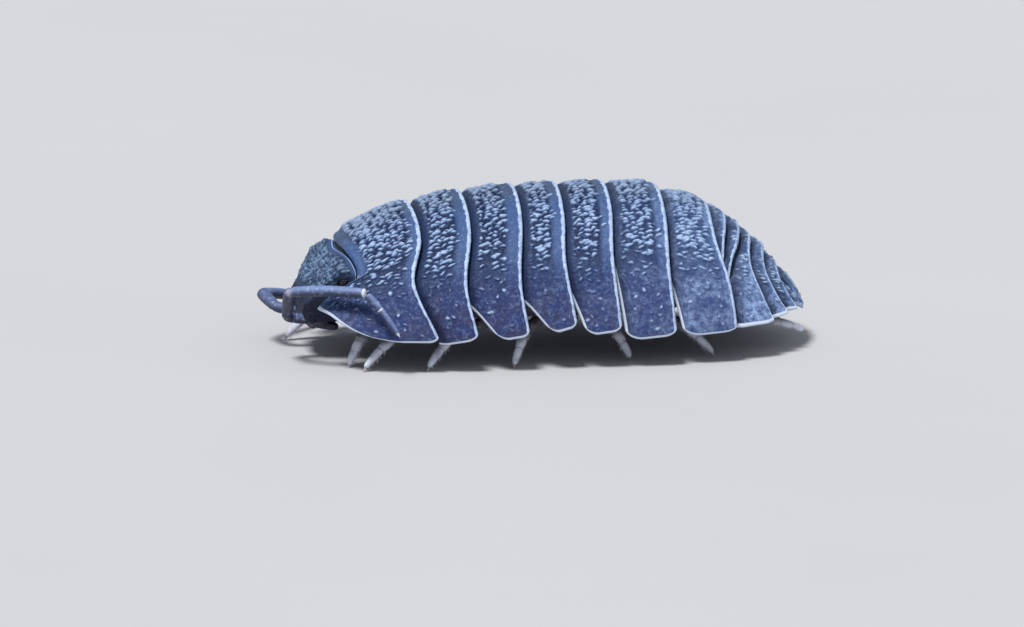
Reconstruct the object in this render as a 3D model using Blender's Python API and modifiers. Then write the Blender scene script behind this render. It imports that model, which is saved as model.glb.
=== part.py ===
"""A granulated pill woodlouse, life size, walking, as a museum model.

The animal faces -X, its left side is -Y, up is +Z and the floor is z = 0.
Sizes are in millimetres and become metres when a mesh or curve is made.
"""

import math

import bmesh
import bpy
import numpy as np
from mathutils import Vector

MM = 0.001

# The origin is on the floor, below the middle of the whole model, feelers and feet included.
ORIGIN_X = -0.373
ORIGIN_Y = 0.025

# Body plan: the vault is widest and highest a little behind its middle.
BODY_HALF_WIDTH = 3.95
WIDEST_X = 0.8
FRONT_REACH, FRONT_FULLNESS = 12.3, 2.33
REAR_REACH, REAR_FULLNESS = 7.95, 3.2

# Ridge line along the back, seen from the side.
HIGHEST_X = 1.3
RIDGE_TOP = 5.25
FRONT_RIDGE_BASE, FRONT_RIDGE_REACH, FRONT_RIDGE_POWER = 0.9, 9.6, 3.22
REAR_RIDGE_BASE, REAR_RIDGE_REACH, REAR_RIDGE_POWER = 1.05, 7.05, 2.75

# The side flaps end near this level and flare outwards.
EDGE_LEVEL = 0.8
FLARE = 0.16
FLARE_FROM, FLARE_TO = 0.66, 1.0

# Shell plates. Each joint is slanted: the hind edge of a plate overhangs the front edge of the next.
SHELL = 0.55
LOBE_SHELL = 0.42
PLATE_GAP = 0.28
TAIL_GAP = 0.24
UNDERCUT = 0.28
PLATE_DIP = 0.17
PLATE_COLUMNS, PLATE_RINGS = 9, 42
TAIL_COLUMNS, TAIL_RINGS = 4, 26
FRONT_CORNER, HIND_CORNER = 0.055, 0.035

# Coarse tubercles stand on the arched part of each trunk plate, down to this share of its arc.
TUBERCLE = 0.09
TUBERCLE_LIMIT = 0.72

# Soft underside: it fills the vault down to its floor, and thins towards the tail from TAPER_X on.
BELLY_GAP = 0.27
BELLY_FLOOR = 1.85
BELLY_FRONT_X, BELLY_REAR_X = -6.05, 6.15
BELLY_SPAN = 0.58
BELLY_HALF_WIDTH = 2.5
BELLY_TAPER_X, BELLY_TAPER = 4.3, 0.35
BELLY_CREASE = 0.10
BELLY_RINGS = 25

# Gill flaps under the tail, in five overlapping rows.
GILL_ROWS, GILL_FIRST_X, GILL_PITCH = 5, 5.2, 0.42
GILL_TOP, GILL_LOW, GILL_LAP = 1.56, 1.3, 0.13
GILL_INNER_Y, GILL_OUTER_Y, GILL_NARROWING = 0.15, 1.45, 0.13

# Closed mouthparts: middle and size of the block.
MOUTH_AT = (-7.32, 0.0, 0.76)
MOUTH_SIZE = (0.96, 1.5, 0.35)
MOUTH_TAPER = 0.74
MOUTH_EDGE = 0.1

# A leg drops from its root, runs out to its knee and comes down to a small flat on the floor.
LEG_RADIUS = 0.26
CLAW_RADIUS = 0.16
CLAW_LENGTH = 0.18
LEG_ROOT_Y = 1.85
HIP_DROP = 0.25
THIGH_SHARE, THIGH_DROP, THIGH_BOW = 0.26, 0.36, 0.10
KNEE_SHARE, KNEE_HEIGHT, KNEE_BOW = 0.44, 1.08, 0.06
ANKLE_SHARE, ANKLE_HEIGHT = 0.10, 0.36
JOINT_GAP = 0.26

# Hind margins: (share of the arc from ridge to floor level, x there), joined by a smooth curve.
# low: how far down its flap reaches at the front and hind corners, as shares of that arc.
# cut: the share where the free front edge of the flap starts, and its slope in mm for each whole arc.
# dip: how far its front edge lies below the vault, where that isn't the usual dip.
PEREONITES = [
    {
        "margin": ((0, -4.44), (0.40, -4.41), (0.66, -4.76), (0.97, -4.05)),
        "low": (0.955, 0.965),
        "dip": 0.0,
    },
    {"margin": ((0, -2.79), (0.40, -2.83), (0.70, -3.14), (0.96, -2.85)), "low": (0.99, 0.955)},
    {
        "margin": ((0, -1.08), (0.35, -1.16), (0.70, -1.42), (0.95, -1.24)),
        "low": (0.965, 0.945),
        "cut": (0.80, 3.8),
    },
    {
        "margin": ((0, 0.29), (0.35, 0.20), (0.60, 0.05), (0.92, 0.28)),
        "low": (0.93, 0.91),
        "cut": (0.78, 4.8),
    },
    {
        "margin": ((0, 1.82), (0.30, 1.76), (0.60, 1.58), (0.93, 1.69)),
        "low": (0.95, 0.935),
        "cut": (0.78, 1.6),
    },
    {
        "margin": ((0, 3.54), (0.35, 3.47), (0.65, 3.36), (0.96, 3.45)),
        "low": (0.98, 0.965),
        "cut": (0.80, 1.2),
    },
    {
        "margin": ((0, 5.12), (0.42, 5.04), (0.70, 5.34), (0.95, 5.46)),
        "low": (0.975, 0.955),
        "cut": (0.80, 1.0),
        "dip": 0.27,
    },
]
PLEONITES = [
    {"margin": ((0, 5.70), (0.25, 5.52), (0.45, 5.28), (1.0, 4.9)), "low": (0.34, 0.36)},
    {"margin": ((0, 6.15), (0.33, 5.86), (0.60, 5.38), (1.0, 5.1)), "low": (0.48, 0.49)},
    {"margin": ((0, 6.50), (0.49, 6.15), (0.71, 6.44), (0.93, 6.85)), "low": (0.955, 0.905)},
    {"margin": ((0, 6.94), (0.45, 6.68), (0.70, 7.08), (0.88, 7.66)), "low": (0.90, 0.80)},
    {"margin": ((0, 7.36), (0.41, 7.22), (0.66, 7.66), (0.80, 8.05)), "low": (0.80, 0.70)},
]

# The first plate has a notch for the head, with a lobe reaching forward on each side of it.
NOTCH = ((0, -6.82), (0.24, -6.68), (0.46, -6.46), (0.56, -6.54))
LOBE = ((0.54, -7.76), (0.70, -7.44), (0.85, -6.85), (0.94, -6.0), (1.0, -5.0))
LOBE_STEP = (0.52, 0.57)
NOTCH_SLANT = -0.1

TELSON_END_X = 8.26
TELSON_T = 0.27
UROPOD_T = (0.40, 0.62)

# The head is a rounded block: each plane has an outward direction and a distance from the centre.
HEAD_CENTRE = (-7.05, 0.0, 2.1)
HEAD_SOFTNESS = 11
HEAD_PLANES = (
    ((-0.8, 0, 0.6), 0.79),
    ((0.05, 0, 1), 1.44),
    ((0.945, 0, 0.326), 0.47),
    ((-1, 0, 0), 0.95),
    ((-0.93, 0, -0.36), 1.03),
    ((0, 0, -1), 0.92),
    ((0, 1, 0), 2.32),
    ((0, -1, 0), 2.32),
    ((0.10, 0.55, 0.83), 1.98),
    ((0.10, -0.55, 0.83), 1.98),
    ((0, 0.82, -0.57), 1.34),
    ((0, -0.82, -0.57), 1.34),
    ((-0.74, 0.67, 0), 1.66),
    ((-0.74, -0.67, 0), 1.66),
)
HEAD_RINGS, HEAD_SEGMENTS = 24, 32
EYE_AT = (-7.04, 1.97, 2.8)
EYE_SIZE = (0.25, 0.22, 0.23)
EYE_SEAT_GAP = 0.24

# Each feeler: where it leaves the face, its first turn, its elbow, its second bend and its tip.
FEELER_RADIUS = 0.26
FEELERS = {
    "left": (
        (-8.28, -0.80, 1.42),
        (-8.45, -0.95, 1.45),
        (-8.60, -2.20, 2.50),
        (-6.40, -3.50, 2.66),
        (-5.42, -4.10, 1.34),
    ),
    "right": (
        (-8.28, 0.80, 1.36),
        (-8.48, 0.95, 1.36),
        (-8.84, 2.00, 1.62),
        (-7.25, 3.62, 1.05),
        (-6.25, 4.15, 0.35),
    ),
}

# Legs from the first pair to the last: x of each root, and where each foot stands.
LEG_ROOTS_X = (-5.55, -3.75, -2.15, -0.55, 0.95, 2.5, 4.2)
FEET_LEFT = ((-6.74, -2.2), (-6.4, -2.95), (-4.4, -3.2), (-1.63, -3.2), (2.2, -2.7), (4.92, -2.6))
FEET_RIGHT = ((-8.1, 2.2), (-5.55, 3.0), (-3.75, 3.25), (-0.9, 3.25), (1.5, 3.2), (4.2, 2.95), (6.7, 2.35))
# The last left leg trails, lifted off the floor in mid step: its root, three bends and its tip.
TRAILING_LEG = (
    (4.3, -1.6, 1.58),
    (5.2, -2.05, 1.3),
    (6.3, -2.0, 1.16),
    (7.35, -1.62, 0.8),
    (8.2, -1.28, 0.42),
)

SLATE = (0.16, 0.19, 0.27, 1)
LILAC_GREY = (0.22, 0.23, 0.30, 1)
PALE = (0.62, 0.60, 0.60, 1)
UNDERSIDE = (0.45, 0.43, 0.45, 1)
BLACK = (0.03, 0.03, 0.04, 1)


def clear_scene():
    for item in list(bpy.data.objects):
        bpy.data.objects.remove(item, do_unlink=True)


def material(name, colour, roughness):
    made = bpy.data.materials.new(name)
    made.use_nodes = True
    shader = made.node_tree.nodes["Principled BSDF"]
    shader.inputs["Base Color"].default_value = colour
    shader.inputs["Roughness"].default_value = roughness
    shader.inputs["Metallic"].default_value = 0.0
    return made


def ease(x, low, high):
    """0 below low, 1 above high, and a smooth step between."""
    share = min(max((x - low) / (high - low), 0.0), 1.0)
    return share * share * (3 - 2 * share)


def curve_through(places, t):
    """A smooth curve x(t) through the places, level at the ridge and straight past the last place."""
    ts = [place[0] for place in places]
    xs = [place[1] for place in places]
    last = len(places) - 1
    slopes = [0.0]
    slopes += [(xs[i + 1] - xs[i - 1]) / (ts[i + 1] - ts[i - 1]) for i in range(1, last)]
    slopes.append((xs[last] - xs[last - 1]) / (ts[last] - ts[last - 1]))
    if t >= ts[last]:
        return xs[last] + slopes[last] * (t - ts[last])
    i = max(k for k in range(last) if ts[k] <= t)
    span = ts[i + 1] - ts[i]
    s = (t - ts[i]) / span
    rise = s * s * (3 - 2 * s)
    lead = span * (slopes[i] * s * (1 - s) ** 2 - slopes[i + 1] * s * s * (1 - s))
    return xs[i] + (xs[i + 1] - xs[i]) * rise + lead


def half_width(x):
    """Half the body's width at x, from the plan outline."""
    ahead = ((WIDEST_X - min(x, WIDEST_X)) / FRONT_REACH) ** FRONT_FULLNESS
    behind = ((max(x, WIDEST_X) - WIDEST_X) / REAR_REACH) ** REAR_FULLNESS
    return BODY_HALF_WIDTH * math.sqrt(max(1 - ahead - behind, 0))


def ridge_height(x):
    """Height of the back's middle line at x."""
    if x < HIGHEST_X:
        share = ((HIGHEST_X - x) / FRONT_RIDGE_REACH) ** FRONT_RIDGE_POWER
        return FRONT_RIDGE_BASE + (RIDGE_TOP - FRONT_RIDGE_BASE) * math.sqrt(max(1 - share, 0))
    share = ((x - HIGHEST_X) / REAR_RIDGE_REACH) ** REAR_RIDGE_POWER
    return REAR_RIDGE_BASE + (RIDGE_TOP - REAR_RIDGE_BASE) * (1 - share)


def vault(x, t, depth):
    """A point depth below the vault's surface; t runs from -1 at the left edge to 1 at the right."""
    angle = t * math.pi / 2
    flare = math.copysign(FLARE * ease(abs(t), FLARE_FROM, FLARE_TO), t)
    rise = max(ridge_height(x) - EDGE_LEVEL - depth, 0.05)
    width = max(half_width(x) - depth, 0.1)
    return (x, width * math.sin(angle) + flare, EDGE_LEVEL + rise * math.cos(angle))


def margin_x(plate, t):
    return curve_through(plate["margin"], abs(t))


def first_front_x(t):
    """x of the first plate's front edge: the notch round the head, then the lobe beside it."""
    step = ease(abs(t), *LOBE_STEP)
    notch = curve_through(NOTCH, min(abs(t), NOTCH[-1][0]))
    lobe = curve_through(LOBE, max(abs(t), LOBE[0][0]))
    return notch + (lobe - notch) * step


def front_x(plate, before, t, gap):
    """x of a plate's front edge: behind the plates before it, and cut back along the free flap."""
    x = max(margin_x(other, t) for other in before) + gap
    if "cut" not in plate or abs(t) < plate["cut"][0]:
        return x
    free_t, slope = plate["cut"]
    edge = max(margin_x(other, free_t) for other in before) + gap + slope * (abs(t) - free_t)
    return max(x, edge)


def flap_end(plate, u):
    """How far down the arc a plate reaches at share u of its length, with rounded corners."""
    front_low, hind_low = plate["low"]
    low = front_low + (hind_low - front_low) * u
    ahead = max(1 - u / 0.35, 0)
    behind = max(1 - (1 - u) / 0.25, 0)
    low -= FRONT_CORNER * (1 - math.sqrt(1 - ahead**2))
    return low - HIND_CORNER * (1 - math.sqrt(1 - behind**2))


def face_outwards(mesh):
    work = bmesh.new()
    work.from_mesh(mesh)
    bmesh.ops.recalc_face_normals(work, faces=work.faces)
    work.to_mesh(mesh)
    work.free()


def placed(point):
    """A point of the animal in metres, measured from the model's origin."""
    x, y, z = point
    return ((x - ORIGIN_X) * MM, (y - ORIGIN_Y) * MM, z * MM)


def new_part(name, data):
    made = bpy.data.objects.new(name, data)
    PARTS.objects.link(made)
    return made


def loft(name, rings, finish):
    """One closed mesh from equal rings of points in millimetres, capped at both ends."""
    count, around = len(rings), len(rings[0])
    points = [placed(point) for ring in rings for point in ring]
    faces = []
    for i in range(count - 1):
        for j in range(around):
            k = (j + 1) % around
            faces.append((i * around + j, i * around + k, (i + 1) * around + k, (i + 1) * around + j))
    faces.append(tuple(range(around)))
    faces.append(tuple(range((count - 1) * around, count * around)))
    mesh = bpy.data.meshes.new(name)
    mesh.from_pydata(points, [], faces)
    face_outwards(mesh)
    mesh.shade_smooth()
    mesh.set_sharp_from_angle(angle=math.radians(50))
    mesh.materials.append(finish)
    return new_part(name, mesh)


def is_tubercle(ring, column, columns, t):
    """Whether a grid point is the top of a tubercle: staggered rows, clear of the plate's edges."""
    if abs(t) > TUBERCLE_LIMIT or not 0 < column < columns - 2 or ring % 2 == 0:
        return False
    return column % 2 == (ring // 2) % 2


def plate_ring(plate, front, slant, v, ring, columns, tubercles):
    """A plate's closed profile where its arc is at share v: out from front to margin, and back inside."""
    points = []
    for j in range(columns):
        u = j / (columns - 1)
        t = v * flap_end(plate, u)
        start, end = front(t), margin_x(plate, t)
        depth = plate.get("dip", PLATE_DIP) * (1 - u) ** 1.5
        if tubercles and is_tubercle(ring, j, columns, t):
            depth -= TUBERCLE
        points.append(vault(start + (end - start) * u, t, depth))
    for u in (1.0, 0.5, 0.0):
        t = v * flap_end(plate, u)
        start, end = front(t) - slant, margin_x(plate, t) - UNDERCUT
        shell = SHELL if slant > 0 else LOBE_SHELL + (SHELL - LOBE_SHELL) * u
        points.append(vault(start + (end - start) * u, t, shell))
    return points


def arc_shares(rings):
    """Shares of the arc from -1 to 1, a little closer together towards the flaps."""
    even = np.linspace(-1, 1, rings)
    return np.sign(even) * np.abs(even) ** 0.9


def make_plate(name, plate, front, slant, columns, rings, tubercles, finish):
    profiles = [
        plate_ring(plate, front, slant, float(v), i, columns, tubercles)
        for i, v in enumerate(arc_shares(rings))
    ]
    return loft(name, profiles, finish)


def edge_behind(plate, before, gap):
    """The front edge of a plate as a function of t."""
    return lambda t: front_x(plate, before, t, gap)


def make_shell(finish):
    """The seven plates of the trunk and the five of the tail."""
    for i, plate in enumerate(PEREONITES):
        front = edge_behind(plate, [PEREONITES[i - 1]], PLATE_GAP) if i else first_front_x
        slant = UNDERCUT if i else NOTCH_SLANT
        make_plate(f"pereonite_{i + 1}", plate, front, slant, PLATE_COLUMNS, PLATE_RINGS, True, finish)
    for i, plate in enumerate(PLEONITES):
        before = [PEREONITES[-1]] + PLEONITES[max(i - 1, 0) : i]
        front = edge_behind(plate, before, TAIL_GAP)
        make_plate(f"pleonite_{i + 1}", plate, front, UNDERCUT, TAIL_COLUMNS, TAIL_RINGS, False, finish)


def tail_patch(name, low_t, high_t, finish, rings=7, columns=3):
    """A solid piece of the tail's end, behind the last plate, between two places on the arc."""
    profiles = []
    for t in np.linspace(low_t, high_t, rings):
        start = margin_x(PLEONITES[-1], t) + TAIL_GAP
        end = max(TELSON_END_X - 0.4 * t * t, start + 0.12)
        outer = [vault(start + (end - start) * u, t, 0.05 * (1 - u)) for u in np.linspace(0, 1, columns)]
        inner = [vault(end - 0.06, t, SHELL), vault(start - UNDERCUT, t, SHELL)]
        profiles.append(outer + inner)
    return loft(name, profiles, finish)


def make_tail_end(finish):
    tail_patch("telson", -TELSON_T, TELSON_T, finish)
    tail_patch("uropod_left", -UROPOD_T[1], -UROPOD_T[0], finish, rings=5)
    tail_patch("uropod_right", UROPOD_T[0], UROPOD_T[1], finish, rings=5)


def head_reach(direction):
    """How far the rounded block reaches from its centre in a direction."""
    total = 0.0
    for normal, distance in HEAD_PLANES:
        total += max(direction.dot(Vector(normal).normalized()) / distance, 0) ** HEAD_SOFTNESS
    return total ** (-1 / HEAD_SOFTNESS)


def clear_of_eyes(place):
    """The place, pushed in towards the head's middle where it would crowd an eye."""
    centre = Vector(HEAD_CENTRE)
    for side in (-1, 1):
        eye = Vector((EYE_AT[0], EYE_AT[1] * side, EYE_AT[2]))
        room = [size + EYE_SEAT_GAP for size in EYE_SIZE]
        for _ in range(40):
            offset = place - eye
            if sum((offset[k] / room[k]) ** 2 for k in range(3)) >= 1:
                break
            place = place.lerp(centre, 0.02)
    return place


def make_head(finish):
    """A sphere drawn out to the rounded block, tubercled on top, with a seat for each eye."""
    bpy.ops.mesh.primitive_uv_sphere_add(segments=HEAD_SEGMENTS, ring_count=HEAD_RINGS, radius=1)
    head = bpy.context.object
    head.name = "head"
    centre = Vector(HEAD_CENTRE)
    crown = Vector((-0.755, 0, 0.656))
    for i, vertex in enumerate(head.data.vertices):
        outward = Vector((vertex.co.x, vertex.co.z, -vertex.co.y)).normalized()
        place = centre + outward * head_reach(outward)
        if outward.dot(crown) > 0.5 and i % 2 == 0 and (i // HEAD_SEGMENTS) % 2 == 0:
            place += outward * TUBERCLE
        vertex.co = placed(clear_of_eyes(place))
    head.data.materials.append(finish)
    move_to_parts(head)


def move_to_parts(item):
    for holder in list(item.users_collection):
        holder.objects.unlink(item)
    PARTS.objects.link(item)


def make_eyes(finish):
    """Each eye is a low oval dome in its seat on the side of the head."""
    for name, side in (("eye_left", -1), ("eye_right", 1)):
        bpy.ops.mesh.primitive_ico_sphere_add(subdivisions=3, radius=1)
        eye = bpy.context.object
        eye.name = name
        for vertex in eye.data.vertices:
            x, y, z = [EYE_AT[k] + vertex.co[k] * EYE_SIZE[k] for k in range(3)]
            vertex.co = placed((x, y * side, z))
        face_outwards(eye.data)
        eye.data.materials.append(finish)
        move_to_parts(eye)


def tube(name, points, radii, finish):
    """A tube through points in millimetres, with its own thickness at each."""
    curve = bpy.data.curves.new(name, "CURVE")
    curve.dimensions = "3D"
    curve.bevel_depth = MM
    curve.bevel_resolution = 2
    curve.use_fill_caps = True
    spline = curve.splines.new("POLY")
    spline.points.add(len(points) - 1)
    for control, place, radius in zip(spline.points, points, radii):
        control.co = (*placed(place), 1)
        control.radius = radius
    curve.materials.append(finish)
    return new_part(name, curve)


def article(name, start, end, radii, finish, trim_start, trim_end):
    """One straight article of a feeler, trimmed at each end to leave its joint's gap."""
    start, end = Vector(start), Vector(end)
    length = (end - start).length
    shares = np.linspace(trim_start / length, 1 - trim_end / length, len(radii))
    return tube(name, [start.lerp(end, float(share)) for share in shares], radii, finish)


def make_feelers(finish):
    """Each feeler has a bent base, one long article and a tapering flagellum."""
    r = FEELER_RADIUS
    for side, (root, turn, elbow, bend, tip) in FEELERS.items():
        lift = (Vector(elbow) - Vector(turn)).normalized()
        top = Vector(elbow) - lift * (JOINT_GAP + r * 0.8)
        middle = Vector(turn).lerp(top, 0.55)
        tube(f"antenna_base_{side}", [root, turn, middle, top], (r, r, r * 1.05, r), finish)
        long_radii = (r, r * 1.08, r, r, r * 0.97)
        article(f"antenna_long_{side}", elbow, bend, long_radii, finish, 0, JOINT_GAP / 2)
        tip_radii = (r, r * 0.97, r * 0.9, r * 0.35)
        article(f"antenna_tip_{side}", bend, tip, tip_radii, finish, JOINT_GAP + 0.07, 0)


def leg_route(root_x, foot, side):
    """Points down a leg: straight from the belly, out under the flap, then down to a flat foot."""
    hip = Vector((root_x, side * LEG_ROOT_Y, BELLY_FLOOR - BELLY_GAP))
    floor_point = Vector((*foot, 0))
    reach = Vector((foot[0] - hip.x, foot[1] - hip.y, 0))
    return [
        hip,
        hip + Vector((0, 0, -HIP_DROP)),
        hip + reach * THIGH_SHARE + Vector((0, side * THIGH_BOW, -THIGH_DROP)),
        floor_point - reach * KNEE_SHARE + Vector((0, side * KNEE_BOW, KNEE_HEIGHT)),
        floor_point - reach * ANKLE_SHARE + Vector((0, 0, ANKLE_HEIGHT)),
        floor_point + Vector((0, 0, CLAW_LENGTH)),
        floor_point,
    ]


def make_legs(finish):
    thick = LEG_RADIUS
    claw = CLAW_RADIUS
    radii = (thick, thick * 1.05, thick * 1.12, thick * 1.02, thick * 0.85, claw, claw)
    for word, side, feet in (("left", -1, FEET_LEFT), ("right", 1, FEET_RIGHT)):
        for i, foot in enumerate(feet):
            tube(f"leg_{word}_{i + 1}", leg_route(LEG_ROOTS_X[i], foot, side), radii, finish)
    route = list(TRAILING_LEG)
    hip_x, hip_y, hip_z = route[0]
    route.insert(1, (hip_x, hip_y, hip_z - HIP_DROP))
    tube("leg_left_7", route, (thick, thick, thick, thick * 1.05, thick * 0.95, claw), finish)


def make_belly(finish):
    """The soft body under the plates, creased across between each pair of legs."""
    rings = []
    for i, x in enumerate(np.linspace(BELLY_FRONT_X, BELLY_REAR_X, BELLY_RINGS)):
        depth = SHELL + BELLY_GAP + BELLY_TAPER * ease(x, BELLY_TAPER_X, BELLY_REAR_X)
        arch = [vault(x, t, depth) for t in np.linspace(-BELLY_SPAN, BELLY_SPAN, 9)]
        floor = BELLY_FLOOR + (BELLY_CREASE if i % 2 else 0.0)
        side_y = min(half_width(x) - depth - 0.3, BELLY_HALF_WIDTH)
        under = [(x, side_y * share, floor) for share in (1, 0.5, 0, -0.5, -1)]
        rings.append(arch + under)
    return loft("belly", rings, finish)


def make_pleopods(finish):
    """The gill flaps under the tail, five on each side, lapping like tiles."""
    for word, side in (("left", -1), ("right", 1)):
        rings = []
        for i in range(GILL_ROWS):
            for share, drop in ((0.0, 0.0), (0.85, GILL_LAP)):
                x = GILL_FIRST_X + (i + share) * GILL_PITCH
                outer = GILL_OUTER_Y - GILL_NARROWING * i
                ring = [(x, GILL_INNER_Y, GILL_TOP), (x, outer, GILL_TOP), (x, outer, GILL_LOW + 0.06)]
                ring += [(x, outer * 0.7, GILL_LOW - drop), (x, GILL_INNER_Y, GILL_LOW - drop * 0.6)]
                rings.append([(px, side * py, pz) for px, py, pz in ring])
        loft(f"pleopods_{word}", rings, finish)


def make_mouthparts(finish):
    """The closed mouthparts, a small rounded wedge under the head."""
    bpy.ops.mesh.primitive_cube_add(size=1)
    jaws = bpy.context.object
    jaws.name = "mouthparts"
    for vertex in jaws.data.vertices:
        narrow = MOUTH_TAPER if vertex.co.z < 0 else 1.0
        shares = (vertex.co.x * narrow, vertex.co.y * narrow, vertex.co.z)
        vertex.co = placed([MOUTH_AT[k] + MOUTH_SIZE[k] * shares[k] for k in range(3)])
    rounding = jaws.modifiers.new("rounded edges", "BEVEL")
    rounding.width = MOUTH_EDGE * MM
    rounding.segments = 2
    jaws.data.materials.append(finish)
    move_to_parts(jaws)


clear_scene()
PARTS = bpy.data.collections.new("woodlouse")
bpy.context.scene.collection.children.link(PARTS)

shell = material("slate shell", SLATE, 0.5)
feeler = material("lilac-grey feeler", LILAC_GREY, 0.5)
limb = material("pale limb", PALE, 0.55)
soft = material("soft underside", UNDERSIDE, 0.6)
black = material("black eye", BLACK, 0.25)

make_shell(shell)
make_tail_end(shell)
make_head(shell)
make_eyes(black)
make_mouthparts(soft)
make_feelers(feeler)
make_legs(limb)
make_belly(soft)
make_pleopods(soft)
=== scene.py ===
"""The looks of a granulated pill woodlouse, life size, as a museum model.

The animal faces -X, its left side is -Y, up is +Z and the floor is z = 0.
Shapes are worked out in millimetres and become metres when a mesh is made.
"""

import math
from functools import partial

import bpy
import numpy as np
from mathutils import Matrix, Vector


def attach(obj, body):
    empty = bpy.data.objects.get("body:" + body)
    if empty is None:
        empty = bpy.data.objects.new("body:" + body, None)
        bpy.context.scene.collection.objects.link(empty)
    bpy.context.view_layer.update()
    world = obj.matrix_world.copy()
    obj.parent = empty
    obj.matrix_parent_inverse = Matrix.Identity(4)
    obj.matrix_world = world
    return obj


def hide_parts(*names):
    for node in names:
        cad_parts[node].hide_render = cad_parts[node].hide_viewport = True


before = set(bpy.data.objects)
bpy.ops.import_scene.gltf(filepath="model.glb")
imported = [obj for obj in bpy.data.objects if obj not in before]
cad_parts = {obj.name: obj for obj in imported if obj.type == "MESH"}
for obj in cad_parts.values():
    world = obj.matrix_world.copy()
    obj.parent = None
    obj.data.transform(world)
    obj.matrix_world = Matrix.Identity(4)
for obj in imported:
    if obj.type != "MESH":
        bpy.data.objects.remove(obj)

bl_info = {
    "name": "Pill woodlouse",
    "version": (1, 0, 0),
    "blender": (4, 5, 0),
    "location": "3D View > Sidebar > Woodlouse",
    "description": "Dresses the solids of a life-size pill woodlouse with its shell, limbs and feelers",
    "category": "Object",
}

MM = 0.001

# The body plan, repeated from the part's source: every value is in millimetres or a share of the arc.
ORIGIN = (-0.373, 0.025, 0.0)
BODY_HALF_WIDTH, WIDEST_X = 3.95, 0.8
FRONT_REACH, FRONT_FULLNESS = 12.3, 2.33
REAR_REACH, REAR_FULLNESS = 7.95, 3.2
HIGHEST_X, RIDGE_TOP = 1.3, 5.25
FRONT_RIDGE_BASE, FRONT_RIDGE_REACH, FRONT_RIDGE_POWER = 0.9, 9.6, 3.22
REAR_RIDGE_BASE, REAR_RIDGE_REACH, REAR_RIDGE_POWER = 1.05, 7.05, 2.75
EDGE_LEVEL = 0.8
FLARE, FLARE_FROM, FLARE_TO = 0.16, 0.66, 1.0
FRONT_CORNER, HIND_CORNER = 0.055, 0.035
FLAP_GAP = 0.03
PLATE_DIP = 0.17
ARC_LENGTH = 6.4

# How a plate is cut and bedded: the shares of its length that its flap's front and hind corners take,
# the rounding where its free front edge starts, the least length of the plate and of its part that
# shows, and where it rises from its tuck, counted from the margin of the plate in front.
FRONT_CORNER_SHARE, HIND_CORNER_SHARE = 0.35, 0.25
CUT_ROUNDING, LEAST_LENGTH, LEAST_SHOWN = 0.12, 0.25, 0.2
TUCK_RISE = (-0.02, 0.26)

# Shares of a plate's length at which its inner face has points, from its hind margin to its front, and
# the least share of its thickness that its rolled edge keeps.
INNER_SHARES = (0.985, 0.93, 0.7, 0.4, 0.15, 0.03)
LEAST_ROLL = 0.08

# Grids of the plates: what spread() takes for the shares of a plate's length, then of its arc.
FIRST_GRID = ((130, 0, 1, 0.04), (500, -1, 1, 0.014))
TRUNK_GRID = ((66, 0, 1, 0.04), (500, -1, 1, 0.014))
TAIL_GRID = ((26, 0, 1, 0.09), (360, -1, 1, 0.014))
END_GRID = ((24, 0, 1, 0.09), (60, 0, 1, 0.06))

# Hind margins: (share of the arc from ridge to floor level, x there).
# low: how far down the flap reaches at its front and hind corners. dip: how far the front edge lies
# below the vault. cut: where the free front edge of the flap starts, and its slope. These edges come
# closer to the plate in front than the solids' do, which keep a gap.
PEREONITES = (
    {
        "margin": ((0, -4.44), (0.40, -4.41), (0.66, -4.76), (0.97, -4.05)),
        "low": (0.955, 0.965),
        "dip": 0.0,
    },
    {"margin": ((0, -2.79), (0.40, -2.83), (0.70, -3.14), (0.96, -2.85)), "low": (0.99, 0.955)},
    {
        "margin": ((0, -1.08), (0.35, -1.16), (0.70, -1.42), (0.95, -1.24)),
        "low": (0.965, 0.945),
        "cut": (0.795, 5.2),
    },
    {
        "margin": ((0, 0.29), (0.35, 0.20), (0.60, 0.05), (0.92, 0.28)),
        "low": (0.94, 0.91),
        "cut": (0.78, 5.4),
    },
    {
        "margin": ((0, 1.82), (0.30, 1.76), (0.60, 1.58), (0.93, 1.69)),
        "low": (0.955, 0.935),
        "cut": (0.775, 2.3),
    },
    {
        "margin": ((0, 3.54), (0.35, 3.47), (0.65, 3.36), (0.96, 3.45)),
        "low": (0.985, 0.965),
        "cut": (0.68, 0.8),
    },
    {
        "margin": ((0, 5.12), (0.42, 5.04), (0.70, 5.34), (0.95, 5.46)),
        "low": (0.98, 0.955),
        "cut": (0.72, 1.3),
        "dip": 0.27,
    },
)

# The first two tail plates run on under the last trunk plate, where the solids stop short of it.
PLEONITES = (
    {"margin": ((0, 5.70), (0.25, 5.52), (0.45, 5.28), (1.0, 4.9)), "low": (0.58, 0.58)},
    {"margin": ((0, 6.15), (0.33, 5.86), (0.60, 5.38), (1.0, 5.1)), "low": (0.66, 0.66)},
    {"margin": ((0, 6.50), (0.49, 6.15), (0.71, 6.44), (0.93, 6.85)), "low": (0.955, 0.905)},
    {"margin": ((0, 6.94), (0.45, 6.68), (0.70, 7.08), (0.88, 7.66)), "low": (0.90, 0.80)},
    {"margin": ((0, 7.36), (0.41, 7.22), (0.66, 7.66), (0.80, 8.05)), "low": (0.80, 0.70)},
)

# The first plate's front edge, as hind margins are given: the notch round the head, the lobe beside
# it, and between which shares of the arc one goes over to the other.
NOTCH = ((0, -6.82), (0.24, -6.68), (0.46, -6.46), (0.56, -6.54))
LOBE = ((0.54, -7.76), (0.70, -7.44), (0.85, -6.85), (0.94, -6.0), (1.0, -5.0))
LOBE_STEP = (0.52, 0.57)

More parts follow.
